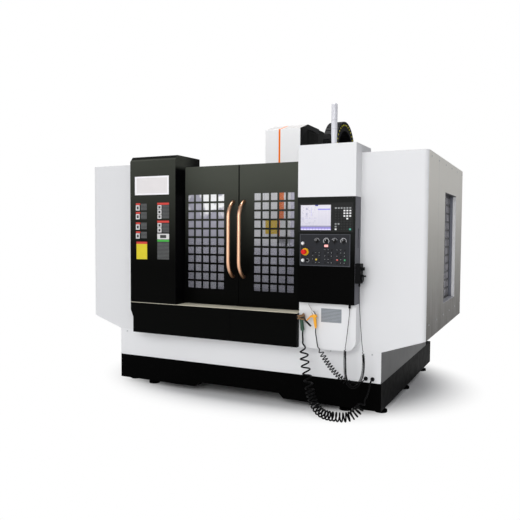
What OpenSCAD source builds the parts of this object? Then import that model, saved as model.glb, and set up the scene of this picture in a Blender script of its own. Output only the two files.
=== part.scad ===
// Fully enclosed vertical milling machine with sliding front doors,
// a control housing, side wings and an open roof.
// Origin: middle of the floor under the machine. +X right, +Y to the rear, +Z up.

/* [Enclosure] */
// Width over the two side wings
overall_w = 3462; // [3360:2:3600]
// Depth from the stop button to the handle of the rear switch
overall_d = 2600; // [2580:2:2760]
// Height of the top edge of the wings
wing_top_z = 2232; // [2215:1:2250]
// Height of the outer lower edge of the wings
wing_low_z = 677; // [640:1:720]
// Radius of the front corners of the wings
wing_corner_r = 36; // [20:1:60]
// Thickness of the enclosure sheet
sheet_t = 4; // [3:0.5:6]
// Width of folded edges and flanges
fold_w = 40; // [30:1:50]

/* [Base] */
// Width of the cast base and of the skirt
base_w = 2744; // [2720:2:2840]
// Depth of the cast base
base_d = 2240; // [2230:2:2260]
// Height of the levelling feet
foot_h = 50; // [40:1:70]
// Diameter of a foot pad
foot_d = 110; // [90:1:130]
// Height of the top face of the base
base_top_z = 290; // [270:1:310]
// Height of the top edge of the skirt
skirt_top_z = 556; // [540:1:570]
// Width of the clearance under the front of the base
notch_w = 956; // [800:2:1100]
// Height of that clearance
notch_h = 46; // [30:1:60]

/* [Front] */
// How far the front housings stand before the wings
front_step = 149; // [140:1:170]
// Door seam to the left cover
opening_left = 594; // [585:1:600]
// Door seam to the control housing
opening_right = 664; // [655:1:670]
// Width of the left cover over the door pocket
cover_w = 535; // [530:1:560]
// Height of the left cover above the wings
pocket_rise = 57; // [48:1:88]
// Height of the sill under the doors
sill_z = 860; // [850:1:870]
// Depth of the hoods behind the front of the wings
hood_d = 282; // [240:1:320]

/* [Doors] */
// Height of the top edge of the doors
door_top_z = 2185; // [2170:1:2195]
// Thickness of a door
door_t = 40; // [34:1:44]
// How far the doors stand behind the front of the wings
door_set = 20; // [14:1:24]
// Side of a square window hole
hole_w = 65; // [50:1:72]
// Pitch of the window holes
hole_pitch = 83.5; // [80:0.5:86]
// Height of the lowest window holes
hole_z = 1015; // [990:1:1040]
// Height of the straight grip of a handle
grip_h = 400; // [320:1:460]
// Diameter of a handle tube
grip_d = 34; // [28:1:40]
// Reach of a handle before its door
grip_reach = 105; // [90:1:115]

/* [Control] */
// Width of the control housing
house_w = 513; // [505:1:540]
// Height of the control housing above the wings
house_rise = 68; // [58:1:108]
// Height of the lower edge of the control panel
panel_z0 = 957; // [940:1:980]
// Height of the upper edge of the control panel
panel_z1 = 1859; // [1850:1:1900]
// How far the lower housing stands back from the panel
house_back = 49; // [40:1:60]
// Width of the operator plate
plate_w = 448; // [440:1:460]
// Height of the operator plate
plate_h = 270; // [262:1:280]
// Diameter of the stop button
stop_d = 44; // [38:1:48]
// Diameter of a rotary knob
knob_d = 34; // [30:1:38]
// Height of the signal lamp
lamp_h = 375; // [320:1:420]

/* [Axes] */
// Length of the work table
table_l = 1500; // [1460:2:1540]
// Width of the work table
table_w = 600; // [560:2:620]
// Height of the table top
table_z = 950; // [940:1:970]
// Distance of the spindle axis behind the front of the wings
spindle_set = 1180; // [1170:1:1200]
// Height of the spindle nose at rest
nose_z = 1400; // [1390:1:1420]
// Diameter of the spindle shaft
spindle_d = 120; // [100:1:130]
// Width of the head cover
head_w = 410; // [400:1:420]
// Height of the top of the head cover
head_top_z = 2736; // [2720:1:2760]
// Diameter of the axis screws
screw_d = 40; // [32:1:44]

/* [Rear] */
// Depth of the electrical cabinet without its door
elec_d = 348; // [320:2:380]
// Width of the electrical cabinet
elec_w = 1000; // [900:2:1100]
// Height of the electrical cabinet
elec_h = 1560; // [1400:2:1600]

/* [Hidden] */
$fn = 48;

// Clearances
overrun = 5;
run_gap = 0.3;

// Front planes
plate_t = 4;
ring_h = 8;
stop_neck_h = 16;
stop_head_h = 29;
front_reach = front_step + plate_t + ring_h + stop_neck_h + stop_head_h;
y_face = front_reach - overall_d / 2;
y_front = y_face - front_step;
y_rear = overall_d / 2;
switch_h = 44;
switch_plate = 12;
elec_door_t = 30;
elec_y1 = y_rear - switch_h - switch_plate - elec_door_t;
y_wing = elec_y1 - elec_d;
y_low = y_front + house_back;

// Outer widths
wing_x = overall_w / 2;
skirt_x = base_w / 2;
cover_x1 = -opening_left;
cover_x0 = cover_x1 - cover_w;
house_x0 = opening_right;
house_x1 = house_x0 + house_w;

// Door planes
door_y = y_face + door_set;
door_back_y = door_y + door_t;
door_z = sill_z + sheet_t;
door_seam = 3;
door_side_gap = 4;
door_lap = 8;
track_gap = 8;
track_w = 50;
track_h = 70;
track_y = door_back_y + track_gap;
track_top_z = door_top_z - track_h;
roller_d = 44;
roller_share = 0.18;
return_d = door_set + door_t + track_gap + track_w + fold_w;

// Bed, ways and slides
bed_w = 900;
bed_z = skirt_top_z;
bed_set = 520;
trough_wall = 70;
trough_h = 130;
rail_w = 45;
rail_h = 40;
runner_w = 100;
runner_l = 130;
runner_h = 60;
runner_seat = 6;
y_rail_x = 320;
saddle_l = 960;
saddle_w = 540;
saddle_dip = 40;
motor_room = 8;
motor_w = 130;
saddle_runner_y = 200;
x_rail_y = 190;
x_runner_x = 180;
table_t = 110;
spindle_y = y_face + spindle_set;
table_z0 = table_z - table_t;
saddle_z1 = table_z0 - runner_h;
saddle_z0 = bed_z + runner_h;
y_screw_z = bed_z + rail_h / 2;
x_screw_z = table_z0 - rail_h / 2;
nut_d = 80;
block_w = 120;
block_l = 60;
screw_end_share = 0.6;

// Column, head and spindle
column_w = 760;
column_foot_w = 900;
throat = 640;
column_y = spindle_y + throat;
column_y1 = y_face + base_d;
column_rise = 18;
house_top_z = wing_top_z + house_rise;
column_top_z = wing_top_z + column_rise;
z_rail_x = 260;
z_rail_z0 = 1080;
z_runner_y = column_y - runner_h;
head_body_w = 380;
head_h = 440;
head_front = 160;
nose_h = 40;
cartridge_d = 210;
cartridge_h = 70;
head_z0 = nose_z + nose_h + cartridge_h;
head_z1 = head_z0 + head_h;
cover_front = 171;
cover_slope_y = 214;
cover_slope_z = 70;
cover_d = 560;
cover_rise = 5;
cover_z0 = head_z0 + cover_rise;
motor_inset = 12;
motor_wall = 20;
motor_d = 560;

// Turned profile of the signal lamp
lamp_foot_d = 64;
lamp_foot_h = 26;
lamp_low_d = 46;
lamp_top_d = 52;

// Draws a box between two corners
module block(lo, hi) {
    translate(lo) cube(hi - lo);
}

// Puts a shape on both sides of the middle plane
module both_sides() {
    children();
    mirror([1, 0, 0]) children();
}

// Cylinder along Y that starts at p and runs towards the rear
module rod_y(p, d, l) {
    translate(p) rotate([-90, 0, 0]) cylinder(h = l, d = d);
}

// Cylinder along X that starts at p and runs to the right
module rod_x(p, d, l) {
    translate(p) rotate([0, 90, 0]) cylinder(h = l, d = d);
}

// Extrudes an outline given in X and Z from y0 to y1
module along_y(y0, y1) {
    translate([0, y1, 0]) rotate([90, 0, 0]) linear_extrude(y1 - y0) children();
}

// Extrudes an outline given in Y and Z from x0 to x1
module along_x(x0, x1) {
    translate([x0, 0, 0]) rotate([90, 0, 90]) linear_extrude(x1 - x0) children();
}

// Square hole pattern in the XZ plane, cut from y0 to y1
module hole_grid(x0, z0, columns, rows, y0, y1) {
    for (i = [0:columns - 1], k = [0:rows - 1])
        translate([x0 + i * hole_pitch, y0, z0 + k * hole_pitch]) cube([hole_w, y1 - y0, hole_w]);
}

// Base casting

notch_share = 0.9;
notch_d = 700;

// Hollow under the bed, open at the floor
module bed_hollow() {
    block([-bed_w / 2 + trough_wall, y_face + bed_set + trough_wall, foot_h - overrun],
        [bed_w / 2 - trough_wall, column_y1 - trough_wall, y_screw_z - nut_d - trough_wall]);
}

module base() {
    color("#1b1c1c") {
        difference() {
            block([-skirt_x, y_face, foot_h], [skirt_x, y_face + base_d, base_top_z]);
            along_y(y_face - overrun, y_face + notch_d)
                polygon([[-notch_w / 2, foot_h - overrun], [notch_w / 2, foot_h - overrun],
                    [notch_w / 2 * notch_share, foot_h + notch_h],
                    [-notch_w / 2 * notch_share, foot_h + notch_h]]);
            both_sides()
                block([bed_w / 2 + trough_wall, y_face + trough_wall, base_top_z - trough_h],
                    [skirt_x - trough_wall, y_wing - trough_wall, base_top_z + overrun]);
            bed_hollow();
        }
        difference() {
            block([-bed_w / 2, y_face + bed_set, base_top_z], [bed_w / 2, column_y1, bed_z]);
            block([-block_w / 2 - fold_w, y_face + bed_set - overrun, y_screw_z - nut_d],
                [block_w / 2 + fold_w, column_y, bed_z + overrun]);
            bed_hollow();
        }
        both_sides()
            block([y_rail_x - rail_w / 2, y_face + bed_set, bed_z],
                [y_rail_x + rail_w / 2, column_y, bed_z + rail_h]);
        for (y = [y_face + bed_set, column_y - block_l])
            difference() {
                block([-block_w / 2, y, y_screw_z - nut_d], [block_w / 2, y + block_l, bed_z + rail_h]);
                rod_y([0, y - overrun, y_screw_z], screw_d * screw_end_share + 2 * run_gap,
                    block_l + 2 * overrun);
            }
    }
}

foot_x_share = 0.75;
foot_side_share = 0.965;
foot_y_shares = [0.085, 0.48, 0.87];
foot_stem_share = 0.36;
foot_pad_share = 0.4;

module foot(x, y) {
    translate([x, y, 0]) {
        cylinder(h = foot_h * foot_pad_share, d = foot_d);
        cylinder(h = foot_h, d = foot_d * foot_stem_share);
        translate([0, 0, foot_h * foot_pad_share])
            cylinder(h = foot_h * foot_pad_share, d = foot_d / 2, $fn = 6);
    }
}

module levelling_feet() {
    color("#2a2b2b") {
        both_sides() {
            foot(skirt_x * foot_x_share, y_face + foot_d);
            for (s = foot_y_shares) foot(skirt_x * foot_side_share, y_face + base_d * s);
            foot(bed_w / 2, y_face + base_d - foot_d);
        }
    }
}

lip_h = 14;
lip_w = 6;

module skirt() {
    color("#dddee2") {
        block([-skirt_x, y_face, base_top_z], [skirt_x, y_face + sheet_t, skirt_top_z]);
        block([-skirt_x, y_face - lip_w, base_top_z], [skirt_x, y_face, base_top_z + lip_h]);
        both_sides()
            block([skirt_x - sheet_t, y_face, base_top_z], [skirt_x, y_wing, skirt_top_z]);
        both_sides()
            block([bed_w / 2, y_wing - sheet_t, base_top_z], [skirt_x, y_wing, skirt_top_z]);
    }
}

// Rear column with its ways, screw blocks and ribbed back

rib_count = 4;
rib_t = 40;
pocket_d = 120;
z_block_z0 = z_rail_z0 + fold_w;
z_block_z1 = column_top_z - block_l;
z_screw_y = column_y - rail_h / 2;
column_slot_w = 200;
column_slot_d = 90;

module column() {
    color("#c9cbcc") {
        block([column_w / 2 - rib_t, column_y, chain_low_z - arm_t], [chain_x1, column_y + fold_w, chain_low_z]);
        block([chain_x0, chain_y1 - chain_t, chain_low_z - arm_t], [chain_x1, column_y + fold_w, chain_low_z]);
        difference() {
            along_y(column_y, column_y1)
                polygon([[-column_foot_w / 2, bed_z], [column_foot_w / 2, bed_z],
                    [column_foot_w / 2, bed_z + column_slot_w], [column_w / 2, sill_z],
                    [column_w / 2, column_top_z], [-column_w / 2, column_top_z], [-column_w / 2, sill_z],
                    [-column_foot_w / 2, bed_z + column_slot_w]]);
            block([-column_slot_w / 2, column_y - overrun, z_rail_z0],
                [column_slot_w / 2, column_y + column_slot_d, column_top_z - block_l]);
            block([-column_w / 2 + 2 * rib_t, column_y + column_slot_d + rib_t, bed_z - overrun],
                [column_w / 2 - 2 * rib_t, column_y1 - pocket_d - rib_t, column_top_z - 2 * rib_t]);
            for (i = [0:rib_count - 1])
                let (bay = (column_top_z - sill_z) / rib_count, z = sill_z + i * bay)
                    block([-column_w / 2 + 2 * rib_t, column_y1 - pocket_d, z + rib_t],
                        [column_w / 2 - 2 * rib_t, column_y1 + overrun, z + bay - rib_t]);
        }
        both_sides()
            block([z_rail_x - rail_w / 2, column_y - rail_h, z_rail_z0],
                [z_rail_x + rail_w / 2, column_y, column_top_z]);
        for (z = [z_block_z0, z_block_z1])
            difference() {
                block([-block_w / 2, column_y - rail_h - runner_seat * 2, z],
                    [block_w / 2, column_y + column_slot_d, z + block_l]);
                translate([0, z_screw_y, z - overrun])
                    cylinder(h = block_l + 2 * overrun, d = screw_d * screw_end_share + 2 * run_gap);
            }
    }
}

// Wings: folded sheets with a round front corner, a sloping floor and a window in the side

win_set = 445;
win_w = 682;
win_h = 1033;
win_z0 = 904;
win_y1 = y_wing - win_set;
win_y0 = win_y1 - win_w;
win_z1 = win_z0 + win_h;
win_recess = 60;
seal_gap = 0.3;
glass_t = 6;

module wing_plan(x0, inset) {
    r = wing_corner_r - inset;
    x1 = wing_x - inset;
    y0 = y_face + inset;
    translate([x0, y0 + r]) square([x1 - x0, y_wing - inset - y0 - r]);
    translate([x0, y0]) square([x1 - r - x0, r]);
    translate([x1 - r, y0 + r]) circle(r);
}

module wing_form(x0, inset, top) {
    intersection() {
        along_y(y_face - overrun, y_wing + overrun)
            polygon([[x0, skirt_top_z + inset], [skirt_x, skirt_top_z + inset],
                [wing_x, wing_low_z + inset], [wing_x, top], [x0, top]]);
        translate([0, 0, skirt_top_z]) linear_extrude(top - skirt_top_z) wing_plan(x0, inset);
    }
}

module wing(inner_x) {
    difference() {
        wing_form(inner_x, 0, wing_top_z);
        wing_form(inner_x - overrun, sheet_t, wing_top_z + overrun);
        block([wing_x - sheet_t - overrun, win_y0, win_z0], [wing_x + overrun, win_y1, win_z1]);
    }
    block([inner_x, y_face, skirt_top_z], [inner_x + sheet_t, y_face + return_d, wing_top_z]);
    along_y(y_wing - sheet_t, y_wing)
        polygon([[column_foot_w / 2 + seal_gap, skirt_top_z], [inner_x, skirt_top_z], [inner_x, wing_top_z],
            [column_w / 2 + seal_gap, wing_top_z], [column_w / 2 + seal_gap, sill_z],
            [column_foot_w / 2 + seal_gap, bed_z + column_slot_w]]);
    block([wing_x - sheet_t - fold_w, y_face + wing_corner_r, wing_top_z - sheet_t],
        [wing_x - sheet_t, y_wing - sheet_t, wing_top_z]);
}

module right_wing() {
    color("#e4e5e9") wing(house_x1);
}

module left_wing() {
    color("#d8d9dc") mirror([1, 0, 0]) wing(-cover_x0);
}

module side_window() {
    columns = floor((win_y1 - win_y0 - 2 * sheet_t) / hole_pitch);
    rows = floor((win_z1 - win_z0 - 2 * sheet_t) / hole_pitch);
    edge_y = ((win_y1 - win_y0) - (columns - 1) * hole_pitch - hole_w) / 2;
    edge_z = ((win_z1 - win_z0) - (rows - 1) * hole_pitch - hole_w) / 2;
    x_in = wing_x - sheet_t - win_recess;
    difference() {
        union() {
            block([x_in, win_y0, win_z0], [wing_x, win_y1, win_z1]);
            block([wing_x - 2 * sheet_t, win_y0 - fold_w, win_z0 - fold_w],
                [wing_x - sheet_t, win_y1 + fold_w, win_z1 + fold_w]);
        }
        block([x_in + sheet_t, win_y0 + sheet_t, win_z0 + sheet_t],
            [wing_x + overrun, win_y1 - sheet_t, win_z1 - sheet_t]);
        for (i = [0:columns - 1], k = [0:rows - 1])
            translate([x_in - overrun, win_y0 + edge_y + i * hole_pitch, win_z0 + edge_z + k * hole_pitch])
                cube([sheet_t + 2 * overrun, hole_w, hole_w]);
    }
}

module right_side_window() {
    color("#dfe0e4") side_window();
}

module left_side_window() {
    color("#d3d4d8") mirror([1, 0, 0]) side_window();
}

module side_glass() {
    x_in = wing_x - sheet_t - win_recess;
    color("#b8c4cc")
        both_sides()
            block([x_in - glass_t, win_y0, win_z0], [x_in, win_y1, win_z1]);
}

// Left cover over the pocket of the left door

bevel_h = 46;
bevel_w = 40;
cover_top_z = wing_top_z + pocket_rise;
bevel_z = cover_top_z - bevel_h;

module cover_outline(inset, past) {
    polygon([[y_front + inset, sill_z - past], [y_front + inset, bevel_z],
        [y_front + bevel_w + inset / 2, cover_top_z - inset],
        [y_face + hood_d - inset, cover_top_z - inset], [y_face + hood_d - inset, wing_top_z - past],
        [y_face + past, wing_top_z - past], [y_face + past, sill_z - past]]);
}

module pocket_cover() {
    color("#22241f") {
        difference() {
            along_x(cover_x0, cover_x1) cover_outline(0, 0);
            along_x(cover_x0 + sheet_t, cover_x1 - sheet_t) cover_outline(sheet_t, overrun);
        }
        block([cover_x1 - sheet_t, y_face, sill_z], [cover_x1, door_y - door_side_gap, door_top_z]);
        block([cover_x1 - sheet_t, y_face, door_top_z + door_side_gap], [cover_x1, y_face + hood_d, wing_top_z]);
    }
}

jog_w = 30;
jog_drop = 78;
jog_h = 72;
jog_z1 = sill_z - jog_drop;
jog_z0 = jog_z1 - jog_h;
apron_z0 = skirt_top_z + sheet_t;
apron_z1 = sill_z - sheet_t;

module apron_outline(inset, past) {
    polygon([[cover_x0 + inset, apron_z1 + past], [cover_x0 + inset, jog_z1],
        [cover_x0 + jog_w + inset, jog_z0], [cover_x0 + jog_w + inset, apron_z0 + inset],
        [house_x0 - inset, apron_z0 + inset], [house_x0 - inset, apron_z1 + past]]);
}

module apron() {
    color("#171816")
        difference() {
            along_y(y_front, y_face) apron_outline(0, 0);
            along_y(y_front + sheet_t, y_face + overrun) apron_outline(sheet_t, overrun);
        }
}

sill_drop = 180;
sill_run = 90;

module sill() {
    inner_y = door_back_y + track_gap;
    color("#bdb8a5") {
        block([cover_x0, y_front, apron_z1], [house_x0, y_face, sill_z]);
        block([cover_x0, y_face, apron_z1], [house_x1, inner_y, sill_z]);
        along_x(cover_x0, house_x1)
            polygon([[inner_y - sheet_t, apron_z1], [inner_y, apron_z1],
                [inner_y + sill_run, apron_z1 - sill_drop],
                [inner_y + sill_run - sheet_t, apron_z1 - sill_drop]]);
    }
}

module door_track() {
    color("#8d8f92")
        difference() {
            block([cover_x0, track_y, track_top_z - track_h], [house_x1, track_y + track_w, track_top_z]);
            block([cover_x0 - overrun, track_y + sheet_t, track_top_z - track_h - overrun],
                [house_x1 + overrun, track_y + track_w - sheet_t, track_top_z - sheet_t]);
        }
}

// Doors: folded pans with square window holes, hung on rollers

grid_columns = 5;
grid_rows = 11;
grid_edge = 160;

// A door to the right of the seam, w wide
module door(w) {
    x0 = door_seam / 2;
    x1 = x0 + w;
    hanger_w = roller_d;
    difference() {
        block([x0, door_y, door_z], [x1, door_back_y, door_top_z]);
        block([x0 + sheet_t, door_y + sheet_t, door_z + sheet_t],
            [x1 - sheet_t, door_back_y + overrun, door_top_z - sheet_t]);
        hole_grid(grid_edge, hole_z, grid_columns, grid_rows, door_y - overrun, door_y + sheet_t + overrun);
    }
    for (s = [roller_share, 1 - roller_share])
        let (x = x0 + w * s, z = track_top_z + roller_d / 2 + run_gap) {
            block([x - hanger_w / 2, door_back_y - sheet_t, z - hanger_w / 2],
                [x + hanger_w / 2, door_back_y, door_top_z]);
            rod_y([x, door_back_y - sheet_t, z], roller_d / 2, track_gap + sheet_t + track_w / 2);
            rod_y([x, track_y + run_gap, z], roller_d, track_w / 2);
        }
}

left_door_w = opening_left + door_lap;
right_door_w = opening_right + door_lap;

module left_door() {
    color("#2b2d27") mirror([1, 0, 0]) door(left_door_w);
}

module right_door() {
    color("#2b2d27") door(right_door_w);
}

module door_glass() {
    edge = (hole_pitch - hole_w);
    block([grid_edge - edge, door_y + sheet_t, hole_z - edge],
        [grid_edge + grid_columns * hole_pitch, door_y + sheet_t + glass_t, hole_z + grid_rows * hole_pitch]);
}

module left_door_glass() {
    color("#a9b3bd") mirror([1, 0, 0]) door_glass();
}

module right_door_glass() {
    color("#a9b3bd") door_glass();
}

// Bowed door handles

grip_x = 56;
grip_mid_z = 1490;
bow_h = 150;
stub_l = 12;
bow_step = 10;
bow_start = 30;
bow_end = 90;
grip_sides = 20;

// Upper half of the handle's route: a stub off the door and a slanting arc of an ellipse into the grip
bow_route = concat([[grip_x, door_y, grip_mid_z + grip_h / 2 + bow_h, grip_d]],
    [for (a = [bow_start:bow_step:bow_end])
        [grip_x, door_y - stub_l - (grip_reach - stub_l) * (sin(a) - sin(bow_start)) / (1 - sin(bow_start)),
            grip_mid_z + grip_h / 2 + bow_h * cos(a) / cos(bow_start), grip_d]]);

// The same route mirrored about the middle of the grip, from the grip to the door
bow_back = [for (i = [len(bow_route) - 1:-1:0])
    let (p = bow_route[i]) [p[0], p[1], 2 * grip_mid_z - p[2], p[3]]];

module door_handle() {
    hose(concat(bow_route, bow_back), grip_sides);
}

module right_handle() {
    color("#c8966f") door_handle();
}

module left_handle() {
    color("#c8966f") mirror([1, 0, 0]) door_handle();
}

// Control housing: an upper box with a hood, a lower box with one round corner, and a back plate

low_corner_r = 95;

module low_outline(inset) {
    r = low_corner_r - inset;
    x1 = house_x1 - inset;
    z0 = skirt_top_z + inset;
    z1 = panel_z0 - inset;
    translate([house_x0 + inset, z0 + r]) square([x1 - house_x0 - inset, z1 - z0 - r]);
    translate([house_x0 + inset, z0]) square([x1 - r - house_x0 - inset, r]);
    translate([x1 - r, z0 + r]) circle(r);
}

module hood_outline(inset, past) {
    polygon([[y_front + inset, panel_z1 + inset], [y_front + inset, house_top_z - inset],
        [y_face + hood_d - inset, house_top_z - inset], [y_face + hood_d - inset, wing_top_z - past],
        [y_face - inset + past, wing_top_z - past], [y_face - inset + past, panel_z1 + inset]]);
}

module control_housing() {
    color("#e6e7eb") {
        difference() {
            along_x(house_x0, house_x1) hood_outline(0, 0);
            along_x(house_x0 + sheet_t, house_x1 - sheet_t) hood_outline(sheet_t, 0);
        }
        difference() {
            along_y(y_low, y_face) low_outline(0);
            along_y(y_low + sheet_t, y_face - sheet_t) low_outline(sheet_t);
        }
        block([house_x0, y_face - sheet_t, skirt_top_z], [house_x1, y_face, panel_z1]);
        block([house_x0, y_face - sheet_t, sill_z], [house_x0 + sheet_t, door_y - door_side_gap, door_top_z]);
    }
}

// Places on the operator plate, as shares of its width and height
stop_share = [0.112, 0.44];
start_share = [0.062, 0.705];
hold_share = [0.066, 0.17];
key_share = [0.158, 0.17];
mode_share = [0.345, 0.785];
feed_share = [0.532, 0.785];
rapid_share = [0.698, 0.785];
speed_share = [0.87, 0.785];
plate_edge = 23;
plate_rise = 318;
plate_x = house_x0 + plate_edge;
plate_z = panel_z0 + plate_rise;
button_d = 24;
button_h = 14;
button_seat = 16;
bezel_d = 32;
bezel_h = 5;
shaft_d = 12;
shaft_seat = 18;
key_h = 12;
knob_h = 20;
pointer_share = 0.3;

// Turns a pair of shares into a place on the face of the operator plate
function on_plate(s) = [plate_x + s[0] * plate_w, y_front - plate_t, plate_z + s[1] * plate_h];

bored_shares = [stop_share, start_share, hold_share, key_share];
shaft_shares = [mode_share, feed_share, rapid_share, speed_share];

slot_w = 16;
slot_h = 165;
slot_d = 12;
slot_rise = 473;
slot_z = panel_z0 + slot_rise;
slot_set = 60;
pocket_wall = 30;

module control_panel() {
    color("#1d1e1c")
        difference() {
            block([house_x0, y_front, panel_z0], [house_x1, y_face - sheet_t, panel_z1]);
            block([house_x0 + sheet_t, y_front + pocket_wall, panel_z0 + sheet_t],
                [house_x1 - slot_d - sheet_t, y_face, panel_z1 - sheet_t]);
            for (s = bored_shares)
                rod_y(on_plate(s), button_d + 2 * run_gap, plate_t + button_seat + overrun);
            for (s = shaft_shares)
                rod_y(on_plate(s), shaft_d + 2 * run_gap, plate_t + shaft_seat + overrun);
            block([house_x1 - slot_d, y_face - slot_set - slot_w, slot_z],
                [house_x1 + overrun, y_face - slot_set, slot_z + slot_h]);
        }
}

// Display unit with its key field
unit_w = 486;
unit_h = 246;
unit_edge = 8;
unit_rise = 18;
unit_x = house_x0 + unit_edge;
unit_z = plate_z + plate_h + unit_rise;
screen_w = 272;
screen_h = 212;
screen_edge = 20;
screen_sink = 2;
mdi_columns = 6;
mdi_rows = 9;
mdi_pitch_x = 25;
mdi_pitch_z = 22;
mdi_key_w = 18;
mdi_key_h = 15;
mdi_key_t = 3;
mdi_edge = 16;

module display() {
    color("#1a1b1a") {
        difference() {
            block([unit_x, y_front - plate_t, unit_z], [unit_x + unit_w, y_front, unit_z + unit_h]);
            block([unit_x + screen_edge, y_front - plate_t - overrun, unit_z + mdi_edge],
                [unit_x + screen_edge + screen_w, y_front - plate_t + screen_sink,
                    unit_z + mdi_edge + screen_h]);
        }
        for (i = [0:mdi_columns - 1], k = [0:mdi_rows - 1])
            translate([unit_x + unit_w - mdi_edge - mdi_key_w - i * mdi_pitch_x,
                y_front - plate_t - mdi_key_t, unit_z + mdi_edge + k * mdi_pitch_z])
                cube([mdi_key_w, mdi_key_t, mdi_key_h]);
    }
}

// Small membrane keys on the operator plate, fused with it
key_w = 15;
key_t = 3;
key_rows = [0.1, 0.205, 0.31, 0.41, 0.505];
key_columns = [0.273, 0.338, 0.403, 0.518, 0.583, 0.647, 0.755, 0.83, 0.9];
short_columns = 3;
ring_d = 64;
strip_share = [0.225, 0.585];
strip_w = 210;
strip_h = 26;
strip_t = 2;

module operator_plate() {
    color("#4a4c50")
        difference() {
            union() {
                block([plate_x, y_front - plate_t, plate_z],
                    [plate_x + plate_w, y_front, plate_z + plate_h]);
                rod_y(on_plate(stop_share) - [0, ring_h, 0], ring_d, ring_h);
                for (s = [start_share, hold_share, key_share])
                    rod_y(on_plate(s) - [0, bezel_h, 0], bezel_d, bezel_h);
                for (i = [0:len(key_columns) - 1], k = [0:len(key_rows) - (i < short_columns ? 2 : 1)])
                    translate(on_plate([key_columns[i], key_rows[k]]) - [key_w / 2, key_t, key_w / 2])
                        cube([key_w, key_t, key_w]);
                translate(on_plate(strip_share) - [0, strip_t, 0]) cube([strip_w, strip_t, strip_h]);
            }
            for (s = bored_shares)
                rod_y(on_plate(s) - [0, ring_h + overrun, 0], button_d + 2 * run_gap,
                    plate_t + ring_h + 2 * overrun);
            for (s = shaft_shares)
                rod_y(on_plate(s) - [0, overrun, 0], shaft_d + 2 * run_gap, plate_t + 2 * overrun);
        }
}

dome_share = 0.25;

module emergency_stop() {
    p = on_plate(stop_share) - [0, ring_h + stop_neck_h + stop_head_h, 0];
    head_r = stop_d / 2;
    crown = stop_head_h * dome_share;
    color("#c4201c") {
        translate(p) rotate([-90, 0, 0])
            rotate_extrude()
                polygon([[0, 0], [head_r - crown, 0], [head_r, crown], [head_r, stop_head_h],
                    [0, stop_head_h]]);
        rod_y(p + [0, stop_head_h, 0], button_d, stop_neck_h + ring_h + plate_t);
    }
}

module push_button(s) {
    rod_y(on_plate(s) - [0, button_h, 0], button_d, button_h + plate_t);
}

module start_button() {
    color("#ececec") push_button(start_share);
}

module hold_button() {
    color("#e9e9e9") push_button(hold_share);
}

key_bow_w = 5;
key_bow_l = 16;

module key_switch() {
    p = on_plate(key_share);
    color("#26272a") {
        rod_y(p - [0, key_h, 0], button_d, key_h + plate_t);
        translate(p - [key_bow_w / 2, key_h + key_bow_l, button_d / 3])
            cube([key_bow_w, key_bow_l, button_d * 2 / 3]);
    }
}

module rotary_knob(s) {
    p = on_plate(s) - [0, run_gap, 0];
    pointer_w = knob_d * pointer_share;
    rod_y(p - [0, knob_h / 2, 0], knob_d, knob_h / 2);
    translate(p - [pointer_w / 2, knob_h, knob_d / 2]) cube([pointer_w, knob_h, knob_d]);
    rod_y(p, shaft_d, plate_t + shaft_seat);
}

module mode_knob() {
    color("#191a1a") rotary_knob(mode_share);
}

module feed_knob() {
    color("#191a1a") rotary_knob(feed_share);
}

module rapid_knob() {
    color("#191a1a") rotary_knob(rapid_share);
}

module spindle_knob() {
    color("#191a1a") rotary_knob(speed_share);
}

lamp_edge = 251;
lamp_x = house_x0 + lamp_edge;
lamp_set = 50;
lamp_taper_share = 0.35;
lamp_cap_share = 0.03;

module signal_lamp() {
    cap = lamp_h * lamp_cap_share;
    color("#eceef0")
        translate([lamp_x, y_face + lamp_set, house_top_z])
            rotate_extrude()
                polygon([[0, 0], [lamp_foot_d / 2, 0], [lamp_foot_d / 2, lamp_foot_h],
                    [lamp_low_d / 2, lamp_foot_h], [lamp_top_d / 2, lamp_h * lamp_taper_share],
                    [lamp_top_d / 2, lamp_h - cap], [lamp_top_d / 2 - cap, lamp_h], [0, lamp_h]]);
}

// Hand-held pulse generator that hangs on the right side of the panel

pendant_t = 46;
pendant_w = 79;
pendant_h = 165;
pendant_rise = 181;
pendant_z = panel_z0 + pendant_rise;
wheel_d = 64;
wheel_t = 12;
crank_d = 14;
crank_l = 24;
wheel_share = 0.27;
small_knob_d = 26;
small_knob_h = 20;
small_knob_shares = [0.27, 0.73];
small_knob_share = 0.74;
pendant_shaft_d = 10;
pendant_shaft_l = 20;
pendant_gland_d = 16;
pendant_gland_h = 28;
pendant_gland_set = 55;

function on_pendant(sy, sz) = [house_x1 + pendant_t, y_front + sy * pendant_w, pendant_z + sz * pendant_h];

pendant_places = [on_pendant(1 / 2, wheel_share), on_pendant(small_knob_shares[0], small_knob_share),
    on_pendant(small_knob_shares[1], small_knob_share)];

module pendant() {
    color("#17181a")
        difference() {
            union() {
                block([house_x1, y_front, pendant_z],
                    [house_x1 + pendant_t, y_front + pendant_w, pendant_z + pendant_h]);
                translate([house_x1 + pendant_t / 2, y_front + pendant_gland_set,
                    pendant_z - pendant_gland_h])
                    cylinder(h = pendant_gland_h, d = pendant_gland_d);
            }
            for (p = pendant_places)
                rod_x(p - [pendant_shaft_l + overrun, 0, 0], pendant_shaft_d + 2 * run_gap,
                    pendant_shaft_l + 2 * overrun);
        }
}

module handwheel() {
    p = pendant_places[0] + [run_gap, 0, 0];
    color("#2c2d30") {
        rod_x(p, wheel_d, wheel_t);
        rod_x(p - [pendant_shaft_l, 0, 0], pendant_shaft_d, pendant_shaft_l);
        rod_x(p + [wheel_t, 0, wheel_d / 2 - crank_d], crank_d, crank_l);
    }
}

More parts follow.
